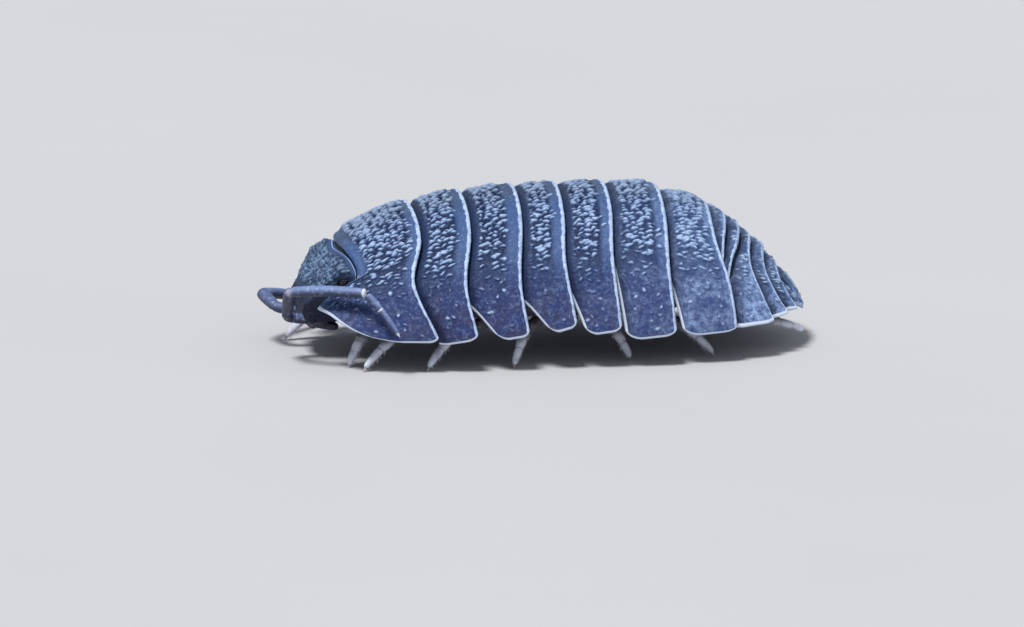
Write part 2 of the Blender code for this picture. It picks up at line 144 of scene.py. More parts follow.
# The tail's end: which shares of the arc the telson and the uropods take, and how much deeper the
# uropods lie. Then how far all three run on under the last plate and how deep they lie, how the rear
# edge rounds off towards the sides and along the uropods, and how much shows at least.
TELSON_END_X, TELSON_T = 8.22, 0.30
UROPOD_T, UROPOD_SINK = (0.30, 0.62), 0.12
TAIL_LAP, TAIL_DEPTH = 0.2, 0.05
TAIL_ROUNDING, UROPOD_ROUNDING, TAIL_SHOWN = 0.8, 0.35, 0.12

# The head is a rounded block: each plane has an outward direction and a distance from the centre. It
# runs on further back than the solid, under the first plate.
HEAD_CENTRE = (-7.05, 0.0, 2.1)
HEAD_SOFTNESS = 18
HEAD_PLANES = (
    ((-0.8, 0, 0.6), 0.69),
    ((0.05, 0, 1), 1.33),
    ((0.945, 0, 0.326), 1.0),
    ((-1, 0, 0), 1.06),
    ((-0.93, 0, -0.36), 1.12),
    ((0, 0, -1), 0.92),
    ((0, 1, 0), 2.32),
    ((0, -1, 0), 2.32),
    ((0.10, 0.55, 0.83), 1.98),
    ((0.10, -0.55, 0.83), 1.98),
    ((0, 0.82, -0.57), 1.34),
    ((0, -0.82, -0.57), 1.34),
    ((-0.74, 0.67, 0), 1.93),
    ((-0.74, -0.67, 0), 1.93),
)

# An eye: its place, its radius, how far below the head's surface its middle lies, and its beads,
# which stand in staggered rows inside a round field.
EYE_AT = (-6.88, 1.97, 2.74)
EYE_RADIUS, EYE_SINK = 0.2, 0.24
BEAD_RADIUS, BEAD_PITCH, BEAD_FIELD = 0.045, (0.078, 0.068), 0.165

# Lines on the head, given on the left and mirrored: the frontal line over the face from the eye to
# the middle, the shield's edge below it, and the furrow beside the feeler's socket.
FRONTAL_LINE = (
    (-7.25, -2.05, 2.95),
    (-7.6, -1.6, 2.85),
    (-7.85, -1.0, 2.7),
    (-8.0, -0.5, 2.62),
    (-8.0, 0, 2.6),
)
SHIELD_EDGE = ((-7.95, -0.9, 2.4), (-8.0, -0.45, 2.05), (-8.0, 0, 1.75))
FACE_FURROW = ((-7.5, -1.9, 2.35), (-7.9, -1.3, 2.05), (-8.0, -0.8, 1.95))

# How far each line of the head stands up or lies deep, and its width.
FRONTAL_RISE, FRONTAL_WIDTH = 0.09, 0.10
SHIELD_RISE, SHIELD_WIDTH = 0.06, 0.12
FURROW_DEPTH, FURROW_WIDTH = 0.09, 0.16
EYE_SEAT_DEPTH, EYE_SEAT_WIDTH = 0.12, 0.3
EYE_RIM_RISE, EYE_RIM_RADIUS, EYE_RIM_WIDTH = 0.05, 0.36, 0.09

# The head's skin: where its smooth strip ends, counted forwards from the first plate, how its rear
# edge drops and the strip stands up, the pale line along it, between which levels the grains start,
# the strip fades and the painted shade on the lower face ends, and how far from an eye the grains start.
REAR_STRIP, REAR_EDGE = (0.14, 0.22), (-0.02, 0.05)
REAR_DROP, STRIP_RISE = 0.05, 0.02
PALE_LINE_AT, PALE_LINE_WIDTH = 0.05, 0.03
GRAIN_LEVELS, STRIP_LEVELS, FACE_LEVELS = (2.15, 2.4), (2.5, 2.7), (1.9, 2.4)
EYE_CLEAR = (0.2, 0.28)

# Grains of the head: the lattice's spacing, each blob's reach and the salt, for the large and the
# small ones, then how much lower the small ones are and how all of them compare with the plates'.
HEAD_GRAINS = ((0.17, 0.15, 0.11), (0.13, 0.11, 0.065), 41)
SMALL_HEAD_GRAINS = ((0.1, 0.1, 0.08), (0.07, 0.07, 0.05), 43)
SMALL_SHARE, HEAD_GRAIN_SHARE = 0.6, 0.85

# The mouthparts' rounded plates: offset from their place, radii, squareness and tilt. Those beside the
# middle are made on both sides.
MOUTH_AT = (-7.32, 0.0, 0.76)
MIDDLE_MOUTH_PLATES = (
    ((-0.42, 0, 0.5), (0.2, 0.6, 0.24), 2.6, 0.5),
    ((-0.3, 0, 0.32), (0.22, 0.46, 0.16), 2.4, 0.5),
)
SIDE_MOUTH_PLATES = (
    ((-0.14, 0.5, 0.4), (0.32, 0.22, 0.2), 2.4, 0.3),
    ((0.1, 0.3, 0.26), (0.46, 0.27, 0.14), 3.0, 0.2),
    ((-0.28, 0.16, 0.2), (0.14, 0.11, 0.08), 2.2, 0.5),
)

# Each feeler: where it leaves the face, its first turn, its elbow, its second bend and its tip.
FEELERS = {
    "left": (
        (-8.28, -0.80, 1.42),
        (-8.45, -0.95, 1.45),
        (-8.60, -2.20, 2.50),
        (-6.40, -3.50, 2.66),
        (-5.42, -4.10, 1.34),
    ),
    "right": (
        (-8.28, 0.80, 1.36),
        (-8.48, 0.95, 1.36),
        (-8.84, 2.00, 1.62),
        (-7.25, 3.62, 1.05),
        (-6.25, 4.15, 0.35),
    ),
}

# From where a feeler's solid starts to the place inside the head where its skin starts.
FEELER_SOCKET = (0.5, 0.0, -0.1)

# How far the middles of a feeler's three parts bow away from straight.
BASE_BOW, LONG_BOW, WHIP_BOW = (-0.04, 0, 0), (0, 0, 0.05), (0.03, 0, 0.03)

# Articles of a feeler and a leg: the shares of the part's length where they meet, and each one's
# girth at its root and its end, as a share of the feeler's or the leg's radius.
BASE_JOINTS, BASE_GIRTHS = (0, 0.2, 0.45, 1.0), ((0.7, 0.74), (0.7, 0.8), (0.78, 0.94))
LONG_JOINTS, LONG_GIRTHS = (0.0, 1.0), ((0.82, 0.7),)
WHIP_JOINTS, WHIP_GIRTHS = (0.05, 0.4, 0.93), ((0.58, 0.54), (0.48, 0.34))
LEG_JOINTS = (0, 0.3, 0.45, 0.58, 0.74, 0.95)
LEG_GIRTHS = ((0.95, 1.0), (0.9, 0.92), (0.8, 0.84), (0.72, 0.7), (0.64, 0.42))
ARTICLE_OVERLAP = 0.006

# The pale rings at a feeler's outer joints: share of the part's length, girth and half the ring's
# length. Then its pale point, from a share of the whip on, and the girths at both ends of it.
RING_AT = {"long": (0.99, 0.62), "whip": (0.4, 0.44)}
RING_HALF = 0.04
POINT_FROM, POINT_GIRTHS = 0.91, (0.26, 0.03)

# Hairs: how far they lean towards the tip, their radius, and for each part of a feeler the girth
# that they stand on and their number. The seeds start the draws of hairs and spines.
HAIR_LEAN, HAIR_RADIUS = 0.8, 0.006
FEELER_SEED, SPINE_SEED, LEG_HAIR_SEED = 11, 100, 300
FEELER_HAIRS = {"base": (0.8, 200), "long": (0.68, 360), "whip": (0.42, 150)}

# Spines and hairs on the lower part of a leg: between which shares of the leg they stand, how many
# pairs or hairs, how far a pair stands apart, how far a spine leans, and its radius. The girths are
# the leg's at those shares. The claw starts at a share of the leg and ends in a point.
SPINE_SPAN, SPINE_PAIRS, SPINE_SPLIT, SPINE_LEAN, SPINE_RADIUS = (0.5, 0.93), 15, 0.6, 0.9, 0.019
SPINE_GIRTHS = ((0.5, 0.7, 0.92), (0.78, 0.66, 0.4))
LEG_HAIRS, LEG_HAIR_LENGTH, LEG_HAIR_RADIUS, LEG_HAIR_GIRTHS = 220, 0.08, 0.008, (0.85, 0.4)
LEG_HAIR_POINTS = (50, 150)
CLAW_FROM, CLAW_POINT = 0.93, 0.12

# The legs' routes: y and z where each leaves the belly, then how its thigh, knee and ankle lie on the
# way to its foot, as shares of its reach, and as drops, heights and outward bows in mm. The last left
# leg trails clear of the floor.
LEG_ROOT = (1.85, 1.58)
HIP_DROP = 0.25
THIGH_SHARE, THIGH_DROP, THIGH_BOW = 0.26, 0.36, 0.10
KNEE_SHARE, KNEE_HEIGHT, KNEE_BOW = 0.44, 1.08, 0.06
ANKLE_SHARE, ANKLE_HEIGHT = 0.10, 0.36
LEG_ROOTS_X = (-5.55, -3.75, -2.15, -0.55, 0.95, 2.5, 4.2)
FEET_LEFT = ((-6.74, -2.2), (-6.4, -2.95), (-4.4, -3.2), (-1.63, -3.2), (2.2, -2.7), (4.92, -2.6))
FEET_RIGHT = ((-8.1, 2.2), (-5.55, 3.0), (-3.75, 3.25), (-0.9, 3.25), (1.5, 3.2), (4.2, 2.95), (6.7, 2.35))
TRAILING_LEG = (
    (4.3, -1.6, 1.58),
    (4.3, -1.6, 1.33),
    (5.2, -2.05, 1.3),
    (6.3, -2.0, 1.16),
    (7.35, -1.62, 0.8),
    (8.2, -1.28, 0.42),
)

# The belly: its ends, its level, half its width, and the share of the arc that it fills up to its depth
# below the shell. In front it narrows and rises to a neck, and behind it deepens and drops. Each
# segment swells a little. Below are the gill flaps, which narrow from row to row.
BELLY_FRONT_X, BELLY_REAR_X = -6.7, 6.15
BELLY_FLOOR, BELLY_HALF_WIDTH, BELLY_SPAN = 1.5, 2.5, 0.58
NECK_X, NECK_RISE, NECK_NARROWING = (-6.6, -5.7), 0.46, 0.35
BELLY_DEPTH, BELLY_TAPER_X, BELLY_TAPER = 0.82, 4.3, 0.35
BELLY_SIDE_GAP, BELLY_SWELL, SEGMENT_PITCH, BELLY_REAR_DROP = 0.3, 0.13, 1.62, 0.35
GILL_ROWS, GILL_FIRST_X, GILL_PITCH = 5, 5.2, 0.42
GILL_LEVEL, GILL_OUTER_Y, GILL_NARROWING = 1.36, 1.45, 0.13
GILL_INNER_Y, GILL_LENGTH, GILL_THICKNESS, GILL_SQUARENESS, GILL_TILT = 0.12, 0.36, 0.07, 2.6, 0.3

# For each trunk plate: how dusty it is, how wide the bare strip before its hind margin is, in mm, and
# how strong the fold beside its free front edge is.
TRUNK_SKIN = (
    (0.12, 0.34, 0.0),
    (0.05, 0.44, 0.0),
    (0.05, 0.50, 0.0),
    (0.10, 0.42, 0.0),
    (0.16, 0.38, 0.0),
    (0.34, 0.38, 0.5),
    (0.60, 0.32, 0.5),
)

# The bare strip behind the plate in front.
TRUNK_FRONT_CLEAR = 0.3

# Skin of the tail: the bare strips before the hind margin and behind the plate in front, and how wide
# the margins and rims are beside the trunk's, on the five plates and on the tail's end.
TAIL_HIND_CLEAR, TAIL_FRONT_CLEAR, TAIL_BLOOM = 0.2, 0.22, 1.0
TAIL_BEADS, TAIL_RIMS = 0.65, 2.4
END_BEADS, END_RIMS = 0.6, 1.8

# What starts each plate's own pattern, for the first plate of the trunk, of the tail and of its end.
TRUNK_SALT, TAIL_SALT, END_SALT = 5, 25, 35

# Grains of the plates: the lattice's spacing and a grain's reach, back from the margin and along it,
# and how high the dots and the grit are beside a full grain.
GRAINS = ((0.235, 0.165), (0.145, 0.074))
DOTS = ((0.34, 0.33), (0.1, 0.085))
GRIT = ((0.1, 0.09), (0.06, 0.04))
SCALLOPS = ((0.35, 0.14), (0.2, 0.07))
DOT_SHARE, GRIT_SHARE = 0.6, 0.16

# Shares of the arc between which the grains thin out, the dots start, the rims start, and the fold
# bends away from the edge, begins and ends.
GRAINS_THIN, DOTS_START, RIM_START = (0.48, 0.84), (0.58, 0.7), (0.45, 0.6)
FOLD_BEND, FOLD_BEGIN, FOLD_END = (0.63, 0.74), (0.62, 0.68), (0.8, 0.88)

# The fold's distance from the edge before and after its bend and its width, and the rims' width.
FOLD_AT, FOLD_SHIFT, FOLD_WIDTH = 0.05, 0.24, 0.08
RIM_WIDTH = (0.04, 0.1)

# How much the hind margin's width varies, and the waves along it that make it vary.
MARGIN_UNEVEN, MARGIN_WAVES = 0.16, (5.3, 13.7)

# The marks that a shell's points carry, for its material. The texture gives the first of them. pit_shade
# and front carry painted shade: between close grains, and the shadow behind the plate in front.
RELIEF_MARKS = ("granule", "pit_shade", "bead", "edge", "front")
SHELL_MARKS = (*RELIEF_MARKS, "low", "bloom")

# The studio: half the floor's side in metres, the sky's strength, and each lamp's name, direction,
# strength and angle in degrees. The aim is in mm, the image's width in pixels, and the clip in metres.
FLOOR_HALF = 3.0
SKY_STRENGTH = 0.33
LAMPS = (("key", (-0.35, -0.4, 1.0), 3.5, 15), ("fill", (0.6, -0.9, 0.5), 0.45, 90))
AIM = (-0.755, -0.025, 1.08)
IMAGE_WIDTH = 1024
CLIP_NEAR, CLIP_FAR = 0.01, 20


def tone(red, green, blue):
    """A colour given as 0 to 255 on screen, as the linear values that a shader takes."""
    return tuple(((c / 255 + 0.055) / 1.055) ** 2.4 for c in (red, green, blue))


def colour_property(name, description, value):
    """A colour that a user can change."""
    return bpy.props.FloatVectorProperty(
        name=name, description=description, default=value, subtype="COLOR", min=0, max=1
    )


def length_property(name, description, millimetres):
    """A length that a user can change."""
    return bpy.props.FloatProperty(
        name=name, description=description, default=millimetres * MM, unit="LENGTH", min=0, precision=6
    )


class ShellSettings(bpy.types.PropertyGroup):
    """Sizes and colours of the shell plates and the head."""

    thickness: length_property("Thickness", "Thickness of a shell plate", 0.17)
    edge_roll: length_property("Edge roll", "How far in from its edge a plate starts to round off", 0.08)
    lap: length_property("Lap", "How far a plate runs on under the one before it", 0.34)
    tuck: length_property("Tuck", "How much deeper a plate lies where it comes out from under", 0.13)
    bead_width: length_property("Bead width", "Width of the raised pale hind margin", 0.15)
    bead_rise: length_property("Bead rise", "How far the hind margin stands up", 0.035)
    granule_height: length_property("Granule height", "How far a full grain stands up", 0.095)
    slate: colour_property("Slate", "Upper shell beside the grains", tone(58, 82, 126))
    ridge: colour_property("Ridge slate", "Greyer shell along the back's middle line", tone(62, 78, 104))
    # Painted shade between close grains; the same colour also makes the flaps' own dark blotches.
    pit_shade: colour_property("Pits", "Shell between close grains", tone(10, 22, 58))
    slate_low: colour_property("Low slate", "Side flaps", tone(40, 55, 104))
    plum: colour_property("Plum", "Brown-purple patches low on the flaps", tone(58, 53, 84))
    # Pale grain tops: partly the grains' own paler colour, partly a painted highlight.
    grain: colour_property("Grain", "Tops of the grains", tone(170, 192, 224))
    margin: colour_property("Margin", "Raised hind margins", tone(186, 206, 238))
    rim: colour_property("Rim", "Thin free edges of the flaps", tone(218, 230, 250))
    bloom: colour_property("Bloom", "Dusty bloom, thickest on the hind plates", tone(152, 178, 222))
    shadow: colour_property("Shadow", "Shell just behind the plate in front", (0.008, 0.012, 0.035))
    head: colour_property("Head", "Shell of the head", tone(54, 72, 102))
    # Pale tops of the head's grains: partly their own colour, partly a painted highlight.
    head_grain: colour_property("Head grain", "Tops of the head's grains", tone(116, 140, 168))
    # Painted shade between the head's grains.
    head_pit_shade: colour_property("Head pits", "Head between its grains", (0.008, 0.014, 0.028))
    # Painted shade on the lower head, below the frontal line.
    face: colour_property("Face", "Sunken face below the frontal line", tone(26, 26, 48))


class LimbSettings(bpy.types.PropertyGroup):
    """Sizes and colours of the feelers and legs."""

    feeler_radius: length_property("Feeler radius", "Radius of a feeler at its thickest", 0.23)
    leg_radius: length_property("Leg radius", "Radius of a leg at its thickest", 0.215)
    claw_radius: length_property("Claw radius", "Radius of a claw at its root", 0.06)
    hair_length: length_property("Hair length", "Length of the fine hairs on the feelers", 0.045)
    spine_length: length_property("Spine length", "Length of the spines on the legs", 0.16)
    feeler: colour_property("Feeler", "Articles of the feelers", tone(112, 132, 178))
    # Painted shade on the feelers' lower side, against their lighter top.
    feeler_underside_shade: colour_property("Feeler underside", "Lower side of the feelers", tone(40, 46, 76))
    membrane: colour_property("Membrane", "Soft rings between the articles", tone(216, 220, 232))
    limb: colour_property("Limb", "Articles of the legs", tone(214, 218, 234))
    # Painted shade on the legs where they are up under the shell.
    limb_shade: colour_property("Upper limb", "Legs where they are up under the shell", tone(70, 64, 74))
    limb_dark: colour_property("Limb mottling", "Grey patches on the legs", tone(128, 124, 146))
    claw: colour_property("Claw", "Claws at the feet", tone(176, 168, 172))


class SoftSettings(bpy.types.PropertyGroup):
    """Colours of the underside, the mouthparts and the eyes."""

    # Painted shade: the underside is coloured dark for the shade under the shell, though its own skin is
    # paler.
    belly: colour_property("Belly", "Skin between the legs", tone(66, 61, 72))
    # Darker clouds in that painted shade, on the underside and the mouthparts.
    belly_shade_clouds: colour_property("Belly shade", "Creases of the underside", tone(40, 37, 50))
    gill: colour_property("Gill", "Gill flaps under the tail", tone(190, 190, 200))
    mouth: colour_property("Mouthparts", "Plates that close the mouth", tone(74, 72, 98))
    eye: colour_property("Eye", "Beads of the eyes", tone(10, 12, 26))
    eye_shade: colour_property("Eye shade", "Darker clouds on the beads", (0.006, 0.008, 0.02))


class StageSettings(bpy.types.PropertyGroup):
    """Camera, floor and light."""

    azimuth: bpy.props.FloatProperty(
        name="Azimuth",
        description="Where the camera stands: 0 looks along +Y",
        default=math.radians(-10),
        subtype="ANGLE",
    )
    elevation: bpy.props.FloatProperty(
        name="Elevation", description="Height of the camera's line", default=math.radians(12), subtype="ANGLE"
    )
    distance: length_property("Distance", "From the camera to the aim", 400)
    pixels_per_mm: bpy.props.FloatProperty(
        name="Scale", description="Image pixels for each millimetre at the aim", default=31.5, min=1
    )
    floor: colour_property("Floor", "Plain pale floor", tone(196, 196, 197))
    sky: colour_property("Sky", "Soft light from all around", (0.80, 0.88, 1.0))


def in_mm(length):
    """A length in metres as millimetres."""
    return length / MM


def ease(x, low, high):
    """0 below low, 1 above high, and the smooth step 3s2 - 2s3 between."""
    share = np.clip((np.asarray(x, float) - low) / (high - low), 0, 1)
    return share * share * (3 - 2 * share)


def smooth_max(a, b, softness):
    """The larger of a and b, rounded where they are within softness of each other."""
    gap = np.clip(1 - np.abs(a - b) / softness, 0, 1)
    return np.maximum(a, b) + gap * gap * softness / 4


def scatter(rows, columns, salt):
    """A repeatable number from 0 to 1 for each cell: the fraction of a large sine of its indices."""
    value = np.sin(rows * 127.1 + columns * 311.7 + salt * 74.7) * 43758.5453
    return value - np.floor(value)


def bell(distance, width):
    """1 at a distance of 0, falling away on both sides: e^-(distance / width)^2."""
    return np.exp(-((distance / width) ** 2))


def unit(vectors):
    """Vectors of length 1."""
    return vectors / np.maximum(np.linalg.norm(vectors, axis=-1, keepdims=True), 1e-12)


def curve_through(places, t):
    """A cubic through the places, level at the first and straight past the last."""
    ts, xs = np.array(places, float).T
    slopes = np.zeros(len(ts))
    slopes[1:-1] = (xs[2:] - xs[:-2]) / (ts[2:] - ts[:-2])
    slopes[-1] = (xs[-1] - xs[-2]) / (ts[-1] - ts[-2])
    t = np.asarray(t, float)
    i = np.clip(np.searchsorted(ts, t, side="right") - 1, 0, len(ts) - 2)
    span = ts[i + 1] - ts[i]
    s = (t - ts[i]) / span
    rise = s * s * (3 - 2 * s)
    lead = span * (slopes[i] * s * (1 - s) ** 2 - slopes[i + 1] * s * s * (1 - s))
    beyond = xs[-1] + slopes[-1] * (t - ts[-1])
    return np.where(t >= ts[-1], beyond, xs[i] + (xs[i + 1] - xs[i]) * rise + lead)


def half_width(x):
    """Half the body's width at x: a rounded outline that is fuller behind than in front."""
    ahead = ((WIDEST_X - np.minimum(x, WIDEST_X)) / FRONT_REACH) ** FRONT_FULLNESS
    behind = ((np.maximum(x, WIDEST_X) - WIDEST_X) / REAR_REACH) ** REAR_FULLNESS
    return BODY_HALF_WIDTH * np.sqrt(np.maximum(1 - ahead - behind, 0))


def ridge_height(x):
    """Height of the back's middle line: a root curve in front of the highest point, a power behind."""
    ahead = ((HIGHEST_X - np.minimum(x, HIGHEST_X)) / FRONT_RIDGE_REACH) ** FRONT_RIDGE_POWER
    front = FRONT_RIDGE_BASE + (RIDGE_TOP - FRONT_RIDGE_BASE) * np.sqrt(np.maximum(1 - ahead, 0))
    behind = ((np.maximum(x, HIGHEST_X) - HIGHEST_X) / REAR_RIDGE_REACH) ** REAR_RIDGE_POWER
    rear = REAR_RIDGE_BASE + (RIDGE_TOP - REAR_RIDGE_BASE) * (1 - behind)
    return np.where(x < HIGHEST_X, front, rear)


def vault(x, t, depth):
    """Points depth below the body's surface: y is width times the sine of the arc's angle, z its cosine.

    t runs from -1 at the left edge to 1 at the right, and the lowest part flares outwards.
    """
    angle = t * math.pi / 2
    flare = np.copysign(FLARE * ease(np.abs(t), FLARE_FROM, FLARE_TO), t)
    rise = np.maximum(ridge_height(x) - EDGE_LEVEL - depth, 0.05)
    width = np.maximum(half_width(x) - depth, 0.1)
    return np.stack([x, width * np.sin(angle) + flare, EDGE_LEVEL + rise * np.cos(angle)], axis=-1)


def margin_x(plate, t):
    """x of a plate's hind margin at a place on the arc."""
    return curve_through(plate["margin"], np.abs(t))


def cover_x(before, t):
    """x of the hindmost margin over a plate."""
    return np.max([margin_x(other, t) for other in before], axis=0)


def first_front_x(t):
    """The first plate's front edge: the notch round the head, then the lobe beside it."""
    t = np.abs(t)
    notch = curve_through(NOTCH, np.minimum(t, NOTCH[-1][0]))
    lobe = curve_through(LOBE, np.maximum(t, LOBE[0][0]))
    return notch + (lobe - notch) * ease(t, *LOBE_STEP)


def flap_end(plate, u):
    """How far down the arc a plate reaches at share u of its length, with elliptic corners."""
    front_low, hind_low = plate["low"]
    ahead = np.maximum(1 - u / FRONT_CORNER_SHARE, 0)
    behind = np.maximum(1 - (1 - u) / HIND_CORNER_SHARE, 0)
    low = front_low + (hind_low - front_low) * u
    low = low - FRONT_CORNER * (1 - np.sqrt(1 - ahead**2))
    return low - HIND_CORNER * (1 - np.sqrt(1 - behind**2))


def grid_quads(rows, columns):
    """Faces between neighbouring rows of points, closed round the columns."""
    i, j = np.meshgrid(np.arange(rows - 1), np.arange(columns), indexing="ij")
    k = (j + 1) % columns
    corners = (i * columns + j, i * columns + k, (i + 1) * columns + k, (i + 1) * columns + j)
    return np.stack([corner.ravel() for corner in corners], axis=1)


class Form:
    """The closed surfaces of one piece, gathered as whole arrays of points, faces and marks."""

    def __init__(self, *marks):
        self.points = []
        self.faces = []
        self.marks = {name: [] for name in marks}
        self.total = 0

    def hold(self, points, face_groups, marks):
        """Takes points, groups of faces of one kind, and each mark as one value or one for each point."""
        for group in face_groups:
            self.faces += (group + self.total).tolist()
        self.points.append(points)
        for name, held in self.marks.items():
            value = np.ravel((marks or {}).get(name, 0.0))
            held.append(np.broadcast_to(value, (len(points),)))
        self.total += len(points)

    def add_rings(self, rings, marks=None):
        """A loft through an array of closed rings, capped at both ends.

        It is turned outwards by the sign of the volume that it holds.
        """
        count, around = rings.shape[:2]
        points = np.reshape(rings, (-1, 3))
        quads = grid_quads(count, around)
        first = np.arange(around)
        caps = np.array([first[::-1], first + (count - 1) * around])
        middle = points.mean(axis=0)
        a, b, c, d = (points[quads[:, k]] - middle for k in range(4))
        volume = np.sum(np.cross(a, b) * c) + np.sum(np.cross(a, c) * d)
        step = 1 if volume > 0 else -1
        self.hold(points, (quads[:, ::step], caps[:, ::step]), marks)

    def add_spikes(self, roots, directions, lengths, radius, marks=None):
        """Many four-sided cones, each leaning along its own direction from its root."""
        directions = unit(directions)
        helper = np.where(np.abs(directions[:, 2:3]) > 0.8, [[1.0, 0, 0]], [[0, 0, 1.0]])
        side = unit(np.cross(directions, helper))
        lift = np.cross(side, directions)
        tips = roots + directions * np.asarray(lengths)[:, None]
        base = [roots + radius * (side * c + lift * s) for c, s in ((1, 0), (0, 1), (-1, 0), (0, -1))]
        points = np.stack([*base, tips], axis=1)
        start = np.arange(len(roots))[:, None] * 5
        bottoms = start + np.array([[3, 2, 1, 0]])
        sides = np.concatenate([start + np.array([[k, (k + 1) % 4, 4]]) for k in range(4)])
        self.hold(points.reshape(-1, 3), (bottoms, sides), marks)

    def mesh(self, name):
        """The mesh of what is held, in metres, with its marks as attributes of its points."""
        points = (np.concatenate(self.points) - ORIGIN) * MM
        mesh = bpy.data.meshes.new(name)
        mesh.from_pydata(points.tolist(), [], self.faces)
        for mark, held in self.marks.items():
            layer = mesh.attributes.new(mark, "FLOAT", "POINT")
            layer.data.foreach_set("value", np.concatenate(held).astype(np.float32))
        mesh.shade_smooth()
        return mesh


def make_piece(name, form, finish, nodes=()):
    """Turns a form into a piece of the model, on its body, in place of its nodes."""
    piece = bpy.data.objects.new(name, form.mesh(name))
    piece.data.materials.append(finish)
    bpy.context.scene.collection.objects.link(piece)
    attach(piece, "root")
    if nodes:
        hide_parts(*nodes)
    return piece


def smooth_path(places, count):
    """Evenly spaced points on a Catmull-Rom curve through the places."""
    places = np.asarray(places, float)
    ends = np.vstack([2 * places[0] - places[1], places, 2 * places[-1] - places[-2]])
    s = np.linspace(0, len(places) - 1 - 1e-9, count * 8)
    i = s.astype(int)
    f = (s - i)[:, None]
    a, b, c, d = ends[i], ends[i + 1], ends[i + 2], ends[i + 3]
    square = (2 * a - 5 * b + 4 * c - d) * f**2
    curve = 0.5 * (2 * b + (c - a) * f + square + (3 * b - a - 3 * c + d) * f**3)
    steps = np.linalg.norm(np.diff(curve, axis=0), axis=1)
    length = np.concatenate([[0], np.cumsum(steps)])
    even = np.linspace(0, length[-1], count)
    return np.stack([np.interp(even, length, curve[:, k]) for k in range(3)], axis=1)


def stretch(path, low, high, count):
    """Points on an evenly spaced path between two shares of its length."""
    at = np.linspace(low, high, count) * (len(path) - 1)
    return np.stack([np.interp(at, np.arange(len(path)), path[:, k]) for k in range(3)], axis=1)


def ring_axes(path):
    """Two unit directions across a path at each point, the second as near to straight up as it can be."""
    along = unit(np.gradient(path, axis=0))
    side = unit(np.cross(along, (0.0, 0.0, 1.0)))
    return side, np.cross(side, along)


def tube_rings(path, radii, sides):
    """Rings round a path: the centre plus radius times cosine and sine along the two cross axes."""
    side, lift = ring_axes(path)
    angles = np.linspace(0, 2 * math.pi, sides, endpoint=False)
    across = side[:, None] * np.cos(angles)[None, :, None]
    upward = lift[:, None] * np.sin(angles)[None, :, None]
    return path[:, None] + (across + upward) * np.asarray(radii)[:, None, None]


def sphere_angles(rings, sides, pole):
    """Angles from one pole to the other, which stop short of both for the caps, and angles round them."""
    polar = np.linspace(pole, math.pi - pole, rings)[:, None]
    turn = np.linspace(0, 2 * math.pi, sides, endpoint=False)[None, :]
    return polar, turn


def pebble(centre, radii, power=2.0, tilt=0.0, rings=28, sides=40):
    """A rounded solid: |x/a|^p + |y/b|^p + |z/c|^p = 1, turned about Y by tilt."""
    polar, turn = sphere_angles(rings, sides, 0.03)
    x = np.sin(polar) * np.cos(turn)
    y = np.sin(polar) * np.sin(turn)
    z = np.cos(polar) + 0 * turn
    reach = (np.abs(x) ** power + np.abs(y) ** power + np.abs(z) ** power) ** (-1 / power)
    x, y, z = (axis * reach * radius for axis, radius in zip((x, y, z), radii))
    turned_x = x * math.cos(tilt) + z * math.sin(tilt)
    turned_z = z * math.cos(tilt) - x * math.sin(tilt)
    return np.stack([turned_x, y, turned_z], axis=-1) + np.array(centre)


def spread(count, low, high, reach):
    """Shares from low to high, evenly spaced inside and closer together near both ends."""
    fine = reach * np.array((0, 0.05, 0.14, 0.28, 0.46, 0.7))
    inside = np.linspace(low + reach, high - reach, count)
    return np.concatenate([low + fine, inside, (high - fine)[::-1]])


def granules(back, along, spacing, reach, keep, salt):
    """Height from 0 to 1 of a field of oval grains in staggered rows.

    Each lattice cell holds one grain, moved, leant and sized by the cell's own repeatable numbers, on a
    plane bent a little by two sine waves. A grain's height is (1 - q)^1.2, where q is the squared
    distance from its middle in units of its reach, and the field is the highest of the nine grains
    round a point.
    """
    back = back + 0.03 * np.sin(along * 13 + 2 * np.sin(back * 9 + salt))
    along = along + 0.025 * np.sin(back * 17 + 2 * np.sin(along * 7 + salt))
    rows = np.floor(back / spacing[0])
    field = np.zeros_like(back)
    for row in (rows - 1, rows, rows + 1):
        shift = 0.5 * (row % 2)
        columns = np.floor(along / spacing[1] - shift)
        for column in (columns - 1, columns, columns + 1):
            wander = [(scatter(row, column, salt + k) - 0.5) * 0.6 for k in (0, 1)]
            middle_back = (row + 0.5 + wander[0]) * spacing[0]
            middle_along = (column + 0.5 + shift + wander[1]) * spacing[1]
            strength = keep(middle_back, middle_along, scatter(row, column, salt + 3))
            size = (0.72 + 0.45 * scatter(row, column, salt + 2)) * (0.55 + 0.45 * strength)
            lean = (along - middle_along) * (scatter(row, column, salt + 4) - 0.2) * 0.7
            q = ((back - middle_back + lean) / (reach[0] * size)) ** 2
            q = q + ((along - middle_along) / (reach[1] * size)) ** 2
            field = np.maximum(field, np.clip(1 - q, 0, 1) ** 1.2 * strength * size)
    return field


